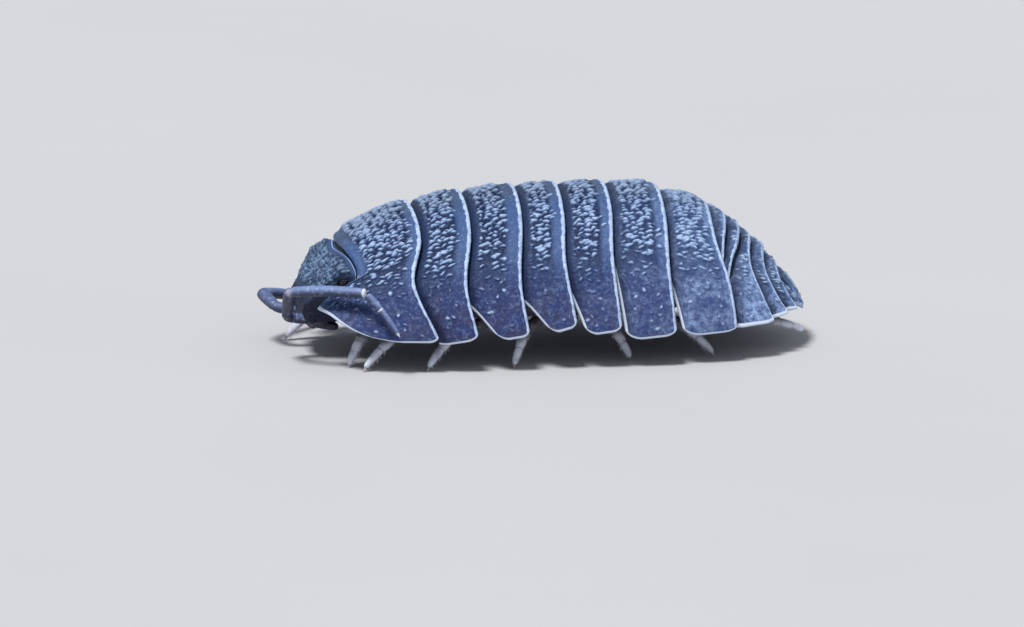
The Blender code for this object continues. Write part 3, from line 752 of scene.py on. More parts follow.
def rough_grains(points, spacing, reach, salt):
    """Height from 0 to 1 of irregular grains on any surface: where it cuts through a lattice of blobs.

    Each cell of a lattice in space holds one blob, moved and sized by the cell's own repeatable
    numbers. Its height at a point is 1 - q, with q the squared distance in units of its reach.
    """
    cell = np.floor(points / spacing)
    field = np.zeros(points.shape[:-1])
    for step in np.ndindex(3, 3, 3):
        x, y, z = np.moveaxis(cell + step - 1.0, -1, 0)
        number = [scatter(x + 13 * z, y + 7 * z, salt + k) for k in range(4)]
        middle = np.stack([x, y, z], axis=-1) + 0.5 + (np.stack(number[:3], axis=-1) - 0.5) * 0.7
        size = 0.7 + 0.5 * number[3]
        q = np.sum(((points - middle * spacing) / (np.array(reach) * size[..., None])) ** 2, axis=-1)
        field = np.maximum(field, np.clip(1 - q, 0, 1) * size)
    return field


def tuck(past, sizes):
    """How much deeper a plate lies, at a distance past the margin of the one in front."""
    return in_mm(sizes.tuck) * (1 - ease(past, *TUCK_RISE))


def plate_points(x, t, depth, start, end, cover, to_low):
    """Where a plate's points are, and how far from its edges and from the plate in front.

    start and end are x of its front and hind edges, cover is x of the margin in front, and to_low is
    the distance to its lower edge.
    """
    return {
        "x": x,
        "t": t,
        "depth": depth,
        "back": end - x,
        "past": x - cover,
        "ahead": x - start,
        "to_low": to_low,
        "edge": np.minimum(np.minimum(end - x, x - start), to_low),
    }


def tail_end_layout(low, high, sink, sizes, u, v):
    """A part of the tail's end between two places on the arc, behind the last plate."""
    t = low + (high - low) * v
    cover = margin_x(PLEONITES[-1], t)
    start = cover - TAIL_LAP
    outer = np.clip((np.abs(t) - UROPOD_T[0]) / (UROPOD_T[1] - UROPOD_T[0]), 0, 1)
    rounded = TELSON_END_X - TAIL_ROUNDING * t * t - UROPOD_ROUNDING * outer**3
    end = np.maximum(rounded, cover + TAIL_SHOWN)
    x = start + (end - start) * u
    to_side = np.minimum(v, 1 - v) * (high - low) * ARC_LENGTH * 0.5
    return plate_points(x, t, sink + TAIL_DEPTH + tuck(x - cover, sizes), start, end, cover, to_side)


def plate_layout(plate, before, sizes, u, v):
    """Where a plate's surface is at shares u of its length and v of its arc, as plate_points() tells it.

    Its front edge lies under the margins before it. From there it rises to the vault, and its depth
    falls as (1 - share)^1.5 along the part that shows.
    """
    low = flap_end(plate, u)
    t = v * low
    end = margin_x(plate, t)
    if before:
        cover = cover_x(before, t)
        start = cover - in_mm(sizes.lap)
        if "cut" in plate:
            free_t, slope = plate["cut"]
            free = cover_x(before, free_t) + FLAP_GAP + slope * (np.abs(t) - free_t)
            start = smooth_max(start, free, CUT_ROUNDING)
        start = np.minimum(start, end - LEAST_LENGTH)
    else:
        cover = start = first_front_x(t)
    x = start + (end - start) * u
    share = np.clip((x - cover) / np.maximum(end - cover, LEAST_SHOWN), 0, 1)
    depth = plate.get("dip", PLATE_DIP) * (1 - share) ** 1.5
    if before:
        depth = depth + tuck(x - cover, sizes)
    return plate_points(x, t, depth, start, end, cover, (low - np.abs(t)) * ARC_LENGTH)


def make_plate(name, layout, grid, texture, bloom, sizes, finish):
    """Makes one plate of the shell: an outer face with its grains, a rolled edge and an inner face.

    Both faces lie half the thickness from the plate's middle, times sqrt(1 - (1 - e)^2), where e is
    the distance from the edge as a share of the roll. Grains push the outer face along its normal.
    """
    u, v = (spread(*axis) for axis in grid)
    arc, length = np.meshgrid(v, np.concatenate([u, INNER_SHARES]), indexing="ij")
    at = layout(length, arc)
    outside = (np.arange(arc.shape[1]) < len(u))[None, :]
    roll = np.sqrt(1 - (1 - np.clip(at["edge"] / in_mm(sizes.edge_roll), 0, 1)) ** 2)
    half = in_mm(sizes.thickness) / 2
    depth = at["depth"] + half + np.where(outside, -half, half) * np.maximum(roll, LEAST_ROLL)
    height, rise, marks = texture(at)
    points = vault(at["x"], at["t"], depth - np.where(outside, rise, 0))
    skin = points[:, : len(u)]
    normal = unit(np.cross(np.gradient(skin, axis=1), np.gradient(skin, axis=0)))
    middle = skin * (1, 0, 0) + (0, 0, EDGE_LEVEL)
    if np.sum(normal * (skin - middle)) < 0:
        normal = -normal
    points[:, : len(u)] = skin + normal * height[:, : len(u), None]
    marks = {mark: np.where(outside, marks[mark], 0) for mark in RELIEF_MARKS}
    form = Form(*SHELL_MARKS)
    form.add_rings(points, {**marks, "low": np.abs(at["t"]), "bloom": bloom})
    make_piece(f"shell_{name}", form, finish, [name])


def plate_texture(
    sizes, salt, hind_clear, front_clear, fold=0.0, shade=1.0, bead_share=1.0, rim_share=1.0
):
    """The relief of a plate: close grains on its arched part, a beaded hind margin and thin pale rims.

    hind_clear and front_clear are the widths of the bare strips before the hind margin and behind the
    plate in front. fold is how strong a low ridge is that leaves the flap's free front edge and runs
    down beside it, and shade how strong the painted shadow is on the strip behind the plate in front.
    bead_share and rim_share widen the hind margin and the rims. On the flaps the grains give way to
    small round dots, far apart.
    The hind margin's width is uneven, as the product of two sine waves along it. Each keep function
    says how much of a grain stands at a place, from 0 to 1, by where it is and by the cell's chance.
    """

    def keep_grain(back, side, chance):
        thin = ease(np.abs(side) / ARC_LENGTH, *GRAINS_THIN)
        return (back > hind_clear + 0.2 * (chance - 0.5)) * (chance > thin) * (1 - 0.55 * thin)

    def keep_dot(back, side, chance):
        low = ease(np.abs(side) / ARC_LENGTH, *DOTS_START)
        return (back > hind_clear * 0.7) * (chance > 0.4) * low * (0.45 + 0.5 * chance)

    def keep_scallop(back, side, chance):
        return (back < SCALLOPS[0][0]) * (0.3 + 0.7 * chance)

    def keep_grit(back, side, chance):
        return 0.25 + 0.75 * chance

    def texture(at):
        back, along, share = at["back"], at["t"] * ARC_LENGTH, np.abs(at["t"])
        arched = 1 - ease(share, *GRAINS_THIN)
        clear = ease(at["past"], front_clear - 0.14, front_clear + 0.08) * ease(at["to_low"], 0.15, 0.3)
        grain = granules(back, along, *GRAINS, keep_grain, salt) * clear
        dots = granules(back, along, *DOTS, keep_dot, salt + 30) * clear
        grit = granules(back, along, *GRIT, keep_grit, salt + 17)
        grit = grit * clear * (1 - grain) * (0.15 + 0.85 * arched)
        scallop = granules(back, along, *SCALLOPS, keep_scallop, salt + 9)
        waves = [np.sin(along * wave + k * salt) for k, wave in enumerate(MARGIN_WAVES, 1)]
        uneven = 1 + MARGIN_UNEVEN * waves[0] * waves[1]
        width = in_mm(sizes.bead_width) * bead_share * uneven * (0.7 + 0.3 * arched)
        bead = 1 - ease(back, width * 0.65, width * 1.2)
        bead = np.clip(bead * (1 - 0.3 * arched * (1 - scallop)), 0, 1)
        ridge = bell(at["ahead"] - (FOLD_AT + FOLD_SHIFT * ease(share, *FOLD_BEND)), FOLD_WIDTH) * fold
        ridge = ridge * ease(share, *FOLD_BEGIN) * (1 - ease(share, *FOLD_END))
        rim = 1 - ease(np.minimum(at["to_low"], at["ahead"]), *(rim_share * x for x in RIM_WIDTH))
        rim = rim * ease(share, *RIM_START) * (at["past"] > TUCK_RISE[0])
        strip = ease(back, hind_clear - 0.1, hind_clear + 0.1)
        height = in_mm(sizes.granule_height) * (np.maximum(grain, dots * DOT_SHARE) + GRIT_SHARE * grit)
        rise = in_mm(sizes.bead_rise) * np.maximum(bead, ridge)
        return height, rise, {
            "granule": np.maximum(grain, dots) + 0.2 * grit,
            # Painted shade between close grains on the arched part.
            "pit_shade": clear * arched * strip * (1 - ease(grain, 0.0, 0.35)),
            "bead": np.maximum(bead, ridge * 0.8),
            "edge": rim,
            # Painted shadow of the plate in front, fading over the first half millimetre behind its margin.
            "front": shade * (1 - ease(at["past"], 0.05, 0.5)),
        }

    return texture


class Signal:
    """A value on its way through a material: operators on it add Math nodes."""

    def __init__(self, finish, socket):
        self.finish = finish
        self.socket = socket

    def __add__(self, other):
        return self.finish.math("ADD", self, other)

    def __sub__(self, other):
        return self.finish.math("SUBTRACT", self, other)

    def __rsub__(self, other):
        return self.finish.math("SUBTRACT", other, self)

    def __mul__(self, other):
        return self.finish.math("MULTIPLY", self, other)

    __radd__ = __add__
    __rmul__ = __mul__

    def step(self, low, high):
        """0 below low, 1 above high, and a smooth step between."""
        sockets = {"Value": self, "From Min": low, "From Max": high}
        return self.finish.node("ShaderNodeMapRange", {"interpolation_type": "SMOOTHSTEP"}, sockets)


class Finish:
    """A material under a Principled BSDF, whose nodes are added by one method."""

    def __init__(self, name, **constants):
        self.material = bpy.data.materials.new(name)
        self.material.use_nodes = True
        self.tree = self.material.node_tree
        self.shader = self.tree.nodes["Principled BSDF"]
        for socket, value in constants.items():
            self.shader.inputs[socket.replace("_", " ")].default_value = value
        self.place = self.node("ShaderNodeTexCoord", {}, {}, "Object")

    def node(self, kind, settings, sockets, output=0):
        """Adds a node, sets it, fills its sockets with numbers, colours or signals, and gives an output."""
        made = self.tree.nodes.new(kind)
        for name, value in settings.items():
            setattr(made, name, value)
        for key, value in sockets.items():
            if isinstance(value, Signal):
                self.tree.links.new(value.socket, made.inputs[key])
            elif made.inputs[key].type == "RGBA":
                made.inputs[key].default_value = (*value, 1)
            else:
                made.inputs[key].default_value = value
        return Signal(self, made.outputs[output])

    def math(self, operation, a, b):
        """One step of arithmetic on two values."""
        return self.node("ShaderNodeMath", {"operation": operation}, {0: a, 1: b})

    def mark(self, name):
        """A number that the piece's points carry."""
        return self.node("ShaderNodeAttribute", {"attribute_name": name}, {}, "Fac")

    def noise(self, per_mm, detail=3.0, roughness=0.55):
        """Cloudy noise from 0 to 1, with so many cells to the millimetre."""
        sockets = {"Vector": self.place, "Scale": per_mm / MM, "Detail": detail, "Roughness": roughness}
        return self.node("ShaderNodeTexNoise", {}, sockets)

    def mix(self, a, b, factor):
        """Colour a going over to colour b as the factor goes from 0 to 1."""
        settings = {"data_type": "RGBA", "clamp_factor": True}
        return self.node("ShaderNodeMix", settings, {0: factor, 6: a, 7: b}, 2)

    def bump(self, height, distance):
        """A bump from a height of 0 to 1 that stands for so many millimetres."""
        sockets = {"Height": height, "Distance": distance * MM}
        return self.node("ShaderNodeBump", {}, sockets, "Normal")

    def set(self, **links):
        """Joins signals to the shader's sockets, and gives the material."""
        for socket, signal in links.items():
            self.tree.links.new(signal.socket, self.shader.inputs[socket.replace("_", " ")])
        return self.material


def shell_finish(sizes):
    """Slate shell: pale margins and rims, plum low on the flaps, dusty behind; pale grain tops, partly a
    painted highlight, painted shade between close grains and a painted shadow behind the plate in front.
    """
    finish = Finish("slate shell", Specular_IOR_Level=0.14)
    low = finish.mark("low")
    bloom = finish.mark("bloom")
    clouds = finish.noise(1.6, 4)
    flecks = finish.noise(6.5, 5, 0.75)
    specks = finish.noise(11, 3, 0.7)
    field = finish.mix(sizes.ridge, sizes.slate, low.step(0.08, 0.3))
    field = finish.mix(field, sizes.slate_low, low.step(0.5, 0.75))
    plum = low.step(0.62, 0.88) * clouds.step(0.34, 0.6)
    field = finish.mix(field, sizes.plum, plum * (1 - bloom) * 0.85)
    blotch = low.step(0.4, 0.7) * (1 - bloom)
    # The flaps' own dark blotches, in the pit shade colour.
    field = finish.mix(field, sizes.pit_shade, blotch * finish.noise(3.2, 4, 0.7).step(0.46, 0.7) * 0.55)
    field = finish.mix(field, sizes.bloom, blotch * flecks.step(0.5, 0.74) * 0.34)
    dust = bloom * (0.3 + 0.7 * clouds.step(0.36, 0.62)) * (0.2 + 0.8 * flecks.step(0.36, 0.66))
    field = finish.mix(field, sizes.bloom, dust)
    # Painted shade between close grains, weaker under the bloom.
    field = finish.mix(field, sizes.pit_shade, finish.mark("pit_shade") * (1 - bloom * 0.6))
    field = finish.mix(field, sizes.bloom, specks.step(0.52, 0.72) * (0.32 - 0.2 * low))
    # Painted shadow behind the plate in front.
    field = finish.mix(field, sizes.shadow, finish.mark("front") * 0.8)
    # Grain tops: partly their own paler colour, partly a painted highlight.
    top = finish.mark("granule").step(0.22, 0.9) * (0.62 + 0.38 * low.step(0.12, 0.36))
    colour = finish.mix(field, sizes.grain, top * (0.55 + 0.45 * specks.step(0.3, 0.6)))
    bead = finish.mark("bead").step(0.3, 0.8)
    colour = finish.mix(colour, sizes.margin, bead * (0.5 + 0.5 * flecks.step(0.35, 0.6)))
    colour = finish.mix(colour, sizes.rim, finish.mark("edge").step(0.2, 0.8) * 0.9)
    rough = 0.4 + 0.2 * clouds + 0.14 * bloom
    relief = finish.noise(22, 4, 0.65) * 0.6 + finish.noise(6, 2) * 0.4
    return finish.set(Base_Color=colour, Roughness=rough, Normal=finish.bump(relief, 0.016))


def head_finish(sizes):
    """Darker slate with a pale rim behind, pale grain tops, partly a painted highlight, painted shade between
    the grains and mottled painted shade on the face below.
    """
    finish = Finish("head shell", Specular_IOR_Level=0.2)
    clouds = finish.noise(1.8, 4)
    specks = finish.noise(9, 3, 0.7)
    field = finish.mix(sizes.head, sizes.slate, clouds.step(0.4, 0.7) * 0.7)
    # Painted shade between the head's grains.
    field = finish.mix(field, sizes.head_pit_shade, finish.mark("pit_shade") * 0.75)
    field = finish.mix(field, sizes.head_grain, specks.step(0.5, 0.75) * 0.4)
    # Grain tops: partly their own paler colour, partly a painted highlight.
    top = finish.mark("granule").step(0.3, 0.85) * (0.5 + 0.5 * clouds.step(0.36, 0.6))
    colour = finish.mix(field, sizes.head_grain, top)
    colour = finish.mix(colour, sizes.slate, finish.mark("bead").step(0.1, 0.4) * 0.8)
    colour = finish.mix(colour, sizes.margin, finish.mark("bead").step(0.5, 0.9) * 0.8)
    # Mottled painted shade on the lower head.
    face = finish.mark("face") * (1 - specks.step(0.52, 0.7) * 0.35)
    colour = finish.mix(colour, sizes.face, face)
    relief = finish.noise(22, 4, 0.65)
    return finish.set(Base_Color=colour, Roughness=0.45 + 0.2 * clouds, Normal=finish.bump(relief, 0.014))


def feeler_finish(colours):
    """Slate-blue articles, painted lighter above and with painted shade below, with pale mottling and joints.
    """
    finish = Finish("feeler", Specular_IOR_Level=0.5)
    mottle = finish.noise(7, 4, 0.7)
    # Painted light: lighter where the skin faces up, painted shade below.
    top = finish.mark("top") * (0.7 + 0.3 * mottle.step(0.3, 0.6))
    colour = finish.mix(colours.feeler_underside_shade, colours.feeler, top)
    colour = finish.mix(colour, colours.membrane, mottle.step(0.52, 0.8) * 0.4)
    colour = finish.mix(colour, colours.membrane, finish.mark("pale"))
    relief = finish.noise(20, 3, 0.6)
    return finish.set(Base_Color=colour, Roughness=0.42 + 0.2 * mottle, Normal=finish.bump(relief, 0.016))


def limb_finish(colours):
    """Whitish, slightly see-through legs with soft grey patches and painted shade up under the shell."""
    finish = Finish(
        "limb",
        Specular_IOR_Level=0.5,
        Subsurface_Weight=0.35,
        Subsurface_Scale=0.25 * MM,
        Subsurface_Radius=(1.0, 0.75, 0.6),
    )
    mottle = finish.noise(2.6, 4, 0.6)
    colour = finish.mix(colours.limb, colours.limb_dark, mottle.step(0.45, 0.72) * 0.6)
    colour = finish.mix(colour, colours.limb_dark, finish.mark("waist") * 0.35)
    # Painted shade where the legs are up under the shell.
    colour = finish.mix(colour, colours.limb_shade, finish.mark("upper") * 0.9)
    relief = finish.noise(18, 3, 0.6)
    return finish.set(Base_Color=colour, Roughness=0.34 + 0.2 * mottle, Normal=finish.bump(relief, 0.008))


def plain_finish(name, light, dark, per_mm, roughness, relief=0.01):
    """Two near tones in soft clouds, with a fine grain."""
    finish = Finish(name, Specular_IOR_Level=0.45)
    clouds = finish.noise(per_mm, 4, 0.6)
    colour = finish.mix(light, dark, clouds.step(0.38, 0.68) * 0.7)
    bump = finish.bump(finish.noise(per_mm * 6, 3, 0.6), relief)
    return finish.set(Base_Color=colour, Roughness=roughness + 0.15 * clouds, Normal=bump)


def eye_finish(colours):
    """Near-black beads with a dull shine."""
    finish = Finish("eye beads", Specular_IOR_Level=0.4, Coat_Weight=0.1, Coat_Roughness=0.15)
    clouds = finish.noise(7, 2)
    colour = finish.mix(colours.eye, colours.eye_shade, clouds)
    return finish.set(Base_Color=colour, Roughness=0.3 + 0.12 * clouds)


def floor_finish(stage):
    """A pale matt floor with faint wide clouds."""
    finish = Finish("pale floor", Specular_IOR_Level=0.25)
    clouds = finish.noise(0.03, 5, 0.6)
    darker = tuple(c * 0.9 for c in stage.floor)
    colour = finish.mix(stage.floor, darker, clouds)
    return finish.set(Base_Color=colour, Roughness=0.75 + 0.1 * clouds)


def head_reach(directions):
    """How far the rounded block reaches along unit directions: (sum of (share of each plane)^p)^(-1/p)."""
    total = np.zeros(directions.shape[:-1])
    for normal, distance in HEAD_PLANES:
        facing = directions @ (np.array(normal, float) / np.linalg.norm(normal))
        total += np.maximum(facing / distance, 0) ** HEAD_SOFTNESS
    return total ** (-1 / HEAD_SOFTNESS)


def on_head(places):
    """Places moved to the head's surface along the line from its centre."""
    outward = unit(np.asarray(places, float) - HEAD_CENTRE)
    return HEAD_CENTRE + outward * head_reach(outward)[..., None]


def path_distance(points, path):
    """Distance from each point to a line of straight segments."""
    nearest = np.full(points.shape[:-1], np.inf)
    for start, end in zip(path[:-1], path[1:]):
        along = end - start
        share = np.clip(((points - start) @ along) / (along @ along), 0, 1)
        offset = points - start - share[..., None] * along
        nearest = np.minimum(nearest, np.linalg.norm(offset, axis=-1))
    return nearest


def head_relief(points, sizes):
    """Rise of the head's skin in mm, and its marks: lines, grains, eye seats and the smooth rear strip."""
    mirrored = points * (1, 0, 1) + np.abs(points) * (0, -1, 0)
    line = path_distance(mirrored, on_head(FRONTAL_LINE))
    shield = path_distance(mirrored, on_head(SHIELD_EDGE))
    furrow = path_distance(mirrored, on_head(FACE_FURROW))
    eye = on_head(np.multiply(EYE_AT, (1, -1, 1)))
    to_eye = np.linalg.norm(mirrored - eye, axis=-1)
    rise = FRONTAL_RISE * bell(line, FRONTAL_WIDTH) + SHIELD_RISE * bell(shield, SHIELD_WIDTH)
    rise = rise - FURROW_DEPTH * bell(furrow, FURROW_WIDTH) - EYE_SEAT_DEPTH * bell(to_eye, EYE_SEAT_WIDTH)
    rise = rise + EYE_RIM_RISE * bell(to_eye - EYE_RIM_RADIUS, EYE_RIM_WIDTH)
    x, y, z = (points[..., k] for k in range(3))
    high = np.maximum(z - EDGE_LEVEL, 0) / np.maximum(ridge_height(x) - EDGE_LEVEL, 0.1)
    arc = np.arctan2(np.abs(y) / half_width(x), high) * 2 / math.pi
    to_plate = first_front_x(np.minimum(arc, NOTCH[-1][0])) - x
    smooth = 1 - ease(to_plate, *REAR_STRIP)
    over = ease(z, *GRAIN_LEVELS) * (1 - smooth) * ease(to_eye, *EYE_CLEAR)
    large, small = (rough_grains(points, *lattice) for lattice in (HEAD_GRAINS, SMALL_HEAD_GRAINS))
    grain = np.maximum(large, SMALL_SHARE * small) * over
    rise = rise + in_mm(sizes.granule_height) * HEAD_GRAIN_SHARE * grain
    rise = rise - REAR_DROP * (1 - ease(to_plate, *REAR_EDGE)) + STRIP_RISE * smooth
    strip = 0.4 * smooth * ease(to_plate, 0.0, REAR_EDGE[1])
    pale_line = bell(to_plate - PALE_LINE_AT, PALE_LINE_WIDTH)
    return rise, {
        "granule": grain,
        # Painted shade between the head's grains.
        "pit_shade": over * (1 - ease(grain, 0.1, 0.5)),
        "bead": np.maximum(strip, pale_line) * ease(z, *STRIP_LEVELS),
        # Painted shade, darker towards the bottom of the head.
        "face": (1 - ease(z, *FACE_LEVELS)) * 0.9,
    }


def leg_route(root_x, foot, side):
    """Points down a leg: from the belly, out under the flap, then down to the floor."""
    hip = np.array((root_x, side * LEG_ROOT[0], LEG_ROOT[1]))
    floor_point = np.array((*foot, 0.0))
    reach = (floor_point - hip) * (1, 1, 0)
    return np.array([
        hip,
        hip + (0, 0, -HIP_DROP),
        hip + reach * THIGH_SHARE + (0, side * THIGH_BOW, -THIGH_DROP),
        floor_point - reach * KNEE_SHARE + (0, side * KNEE_BOW, KNEE_HEIGHT),
        floor_point - reach * ANKLE_SHARE + (0, 0, ANKLE_HEIGHT),
        floor_point,
    ])


def add_articles(form, path, joints, girths, thick, sides, marks, pinch):
    """Lofts one article after another along a path.

    joints are the shares of the path where articles meet, and girths are shares of thick. Each
    article's radius runs from its root to its end size, times 1 - pinch (1 - sin(pi q)^0.6), which
    waists it at both ends, and is rounded off within the last twentieth.
    """
    q = np.linspace(0, 1, 22)
    waist = 1 - pinch * (1 - np.sin(math.pi * np.clip(q, 0.001, 0.999)) ** 0.6)
    rounded = np.clip(np.minimum(q, 1 - q) / 0.05, 0.25, 1) ** 0.5
    for low, high, (root, tip) in zip(joints[:-1], joints[1:], np.multiply(girths, thick)):
        radii = (root + (tip - root) * q) * waist * rounded
        part = stretch(path, max(low - ARTICLE_OVERLAP, 0), min(high + ARTICLE_OVERLAP, 1), len(q))
        rings = tube_rings(part, radii, sides)
        form.add_rings(rings, marks(rings, q))


def feeler_marks(rings, q):
    """Painted light: lighter where the skin faces up, and pale at each article's end."""
    middle = rings.mean(axis=1, keepdims=True)
    facing = unit(rings - middle)[..., 2]
    pale = np.broadcast_to(0.5 * ease(np.abs(q - 0.5), 0.44, 0.5)[:, None], facing.shape)
    return {"top": ease(facing, -0.5, 0.8), "pale": pale}


def feeler_base_marks(rings, q):
    """The same at half strength, so the articles before the elbow are darker."""
    return {name: mark * 0.5 for name, mark in feeler_marks(rings, q).items()}


def limb_marks(rings, q):
    """Darker at each article's ends, and painted shade where the leg is up under the shell."""
    waist = np.broadcast_to(ease(np.abs(q - 0.5), 0.38, 0.5)[:, None], rings.shape[:2])
    return {"waist": waist, "upper": ease(rings[..., 2], 0.7, 1.05)}


def hairs_on(path, radii, count, length, seed):
    """Roots, directions and lengths of fine hairs spread round a tube, leaning towards its tip."""
    draw = np.random.default_rng(seed)
    share = draw.uniform(0.03, 0.97, count)
    angle = draw.uniform(0, 2 * math.pi, count)
    index = share * (len(path) - 1)
    side, lift = ring_axes(path)
    along = unit(np.gradient(path, axis=0))

    def at(values):
        return np.stack([np.interp(index, np.arange(len(path)), values[:, k]) for k in range(3)], axis=1)

    outward = unit(at(side) * np.cos(angle)[:, None] + at(lift) * np.sin(angle)[:, None])
    radius = np.interp(index, np.arange(len(path)), radii)[:, None]
    roots = at(path) + outward * radius * 0.9
    return roots, outward + at(along) * HAIR_LEAN, length * draw.uniform(0.6, 1.2, count)


class PieceOperator:
    """What the operators share: they can be undone, and read their settings from the scene."""

    bl_options = {"REGISTER", "UNDO"}

    @property
    def shell(self):
        return bpy.context.scene.woodlouse_shell

    @property
    def limbs(self):
        return bpy.context.scene.woodlouse_limbs

    @property
    def soft(self):
        return bpy.context.scene.woodlouse_soft


class WOODLOUSE_OT_trunk(PieceOperator, bpy.types.Operator):
    """Make the seven granulated plates of the trunk"""

    bl_idname = "woodlouse.trunk"
    bl_label = "Trunk plates"

    def execute(self, context):
        finish = shell_finish(self.shell)
        for i, (plate, (bloom, hind_clear, fold)) in enumerate(zip(PEREONITES, TRUNK_SKIN)):
            first = i == 0
            before = () if first else (PEREONITES[i - 1],)
            # The first plate has no plate in front, so it gets no painted shadow.
            shade = 0.0 if first else 1.0
            salt = TRUNK_SALT + i
            texture = plate_texture(self.shell, salt, hind_clear, TRUNK_FRONT_CLEAR, fold, shade)
            layout = partial(plate_layout, plate, before, self.shell)
            grid = FIRST_GRID if first else TRUNK_GRID
            make_plate(f"pereonite_{i + 1}", layout, grid, texture, bloom, self.shell, finish)
        return {"FINISHED"}


class WOODLOUSE_OT_tail(PieceOperator, bpy.types.Operator):
    """Make the five plates of the tail, the telson and the uropods"""

    bl_idname = "woodlouse.tail"
    bl_label = "Tail plates"

    def execute(self, context):
        finish = shell_finish(self.shell)
        skin = partial(plate_texture, self.shell, hind_clear=TAIL_HIND_CLEAR, front_clear=TAIL_FRONT_CLEAR)
        for i, plate in enumerate(PLEONITES):
            before = (PEREONITES[-1], *PLEONITES[max(i - 1, 0) : i])
            texture = skin(salt=TAIL_SALT + i, bead_share=TAIL_BEADS, rim_share=TAIL_RIMS)
            layout = partial(plate_layout, plate, before, self.shell)
            make_plate(f"pleonite_{i + 1}", layout, TAIL_GRID, texture, TAIL_BLOOM, self.shell, finish)
        texture = skin(salt=END_SALT, bead_share=END_BEADS, rim_share=END_RIMS)
        for name, low, high, sink in (
            ("telson", -TELSON_T, TELSON_T, 0.0),
            ("uropod_left", -UROPOD_T[1], -UROPOD_T[0], UROPOD_SINK),
            ("uropod_right", UROPOD_T[0], UROPOD_T[1], UROPOD_SINK),
        ):
            layout = partial(tail_end_layout, low, high, sink, self.shell)
            make_plate(name, layout, END_GRID, texture, TAIL_BLOOM, self.shell, finish)
        return {"FINISHED"}


class WOODLOUSE_OT_head(PieceOperator, bpy.types.Operator):
    """Make the head with its frontal lines, grains and eye seats"""

    bl_idname = "woodlouse.head"
    bl_label = "Head"

    def execute(self, context):
        polar, turn = sphere_angles(250, 300, 0.015)
        outward = np.stack(
            [np.sin(polar) * np.cos(turn), np.cos(polar) + 0 * turn, np.sin(polar) * np.sin(turn)], axis=-1
        )
        surface = HEAD_CENTRE + outward * head_reach(outward)[..., None]
        rise, marks = head_relief(surface, self.shell)
        form = Form(*marks)
        form.add_rings(surface + outward * rise[..., None], marks)
        make_piece("head_shell", form, head_finish(self.shell), ["head"])
        return {"FINISHED"}


class WOODLOUSE_OT_eyes(PieceOperator, bpy.types.Operator):
    """Make the two eyes, each a low cluster of black beads"""

    bl_idname = "woodlouse.eyes"
    bl_label = "Eyes"

    def execute(self, context):
        finish = eye_finish(self.soft)
        for name, side in (("eye_left", -1), ("eye_right", 1)):
            place = np.multiply(EYE_AT, (1, side, 1))
            outward = unit(place - HEAD_CENTRE)
            middle = on_head(place) - outward * EYE_SINK
            form = Form()
            form.add_rings(pebble(middle, (EYE_RADIUS,) * 3))
            across = unit(np.cross(outward, (0, 0, 1.0)))
            lift = np.cross(across, outward)
            for row in range(-2, 3):
                for column in range(-2, 3):
                    a = (column + 0.5 * (row % 2)) * BEAD_PITCH[0]
                    b = row * BEAD_PITCH[1]
                    if math.hypot(a, b) > BEAD_FIELD:
                        continue
                    direction = unit(outward + (across * a + lift * b) / EYE_RADIUS)
                    bead = middle + direction * EYE_RADIUS
                    form.add_rings(pebble(bead, (BEAD_RADIUS,) * 3, rings=10, sides=14))
            make_piece(f"beads_{name}", form, finish, [name])
        return {"FINISHED"}


class WOODLOUSE_OT_mouthparts(PieceOperator, bpy.types.Operator):
    """Make the closed mouthparts under the head"""

    bl_idname = "woodlouse.mouthparts"
    bl_label = "Mouthparts"

    def execute(self, context):
        form = Form()
        for side, plates in ((0, MIDDLE_MOUTH_PLATES), (-1, SIDE_MOUTH_PLATES), (1, SIDE_MOUTH_PLATES)):
            for offset, radii, squareness, tilt in plates:
                centre = np.add(MOUTH_AT, np.multiply(offset, (1, side, 1)))
                form.add_rings(pebble(centre, radii, squareness, tilt))
        finish = plain_finish("mouthparts", self.soft.mouth, self.soft.belly_shade_clouds, 2.5, 0.4)
        make_piece("mouth_plates", form, finish, ["mouthparts"])
        return {"FINISHED"}


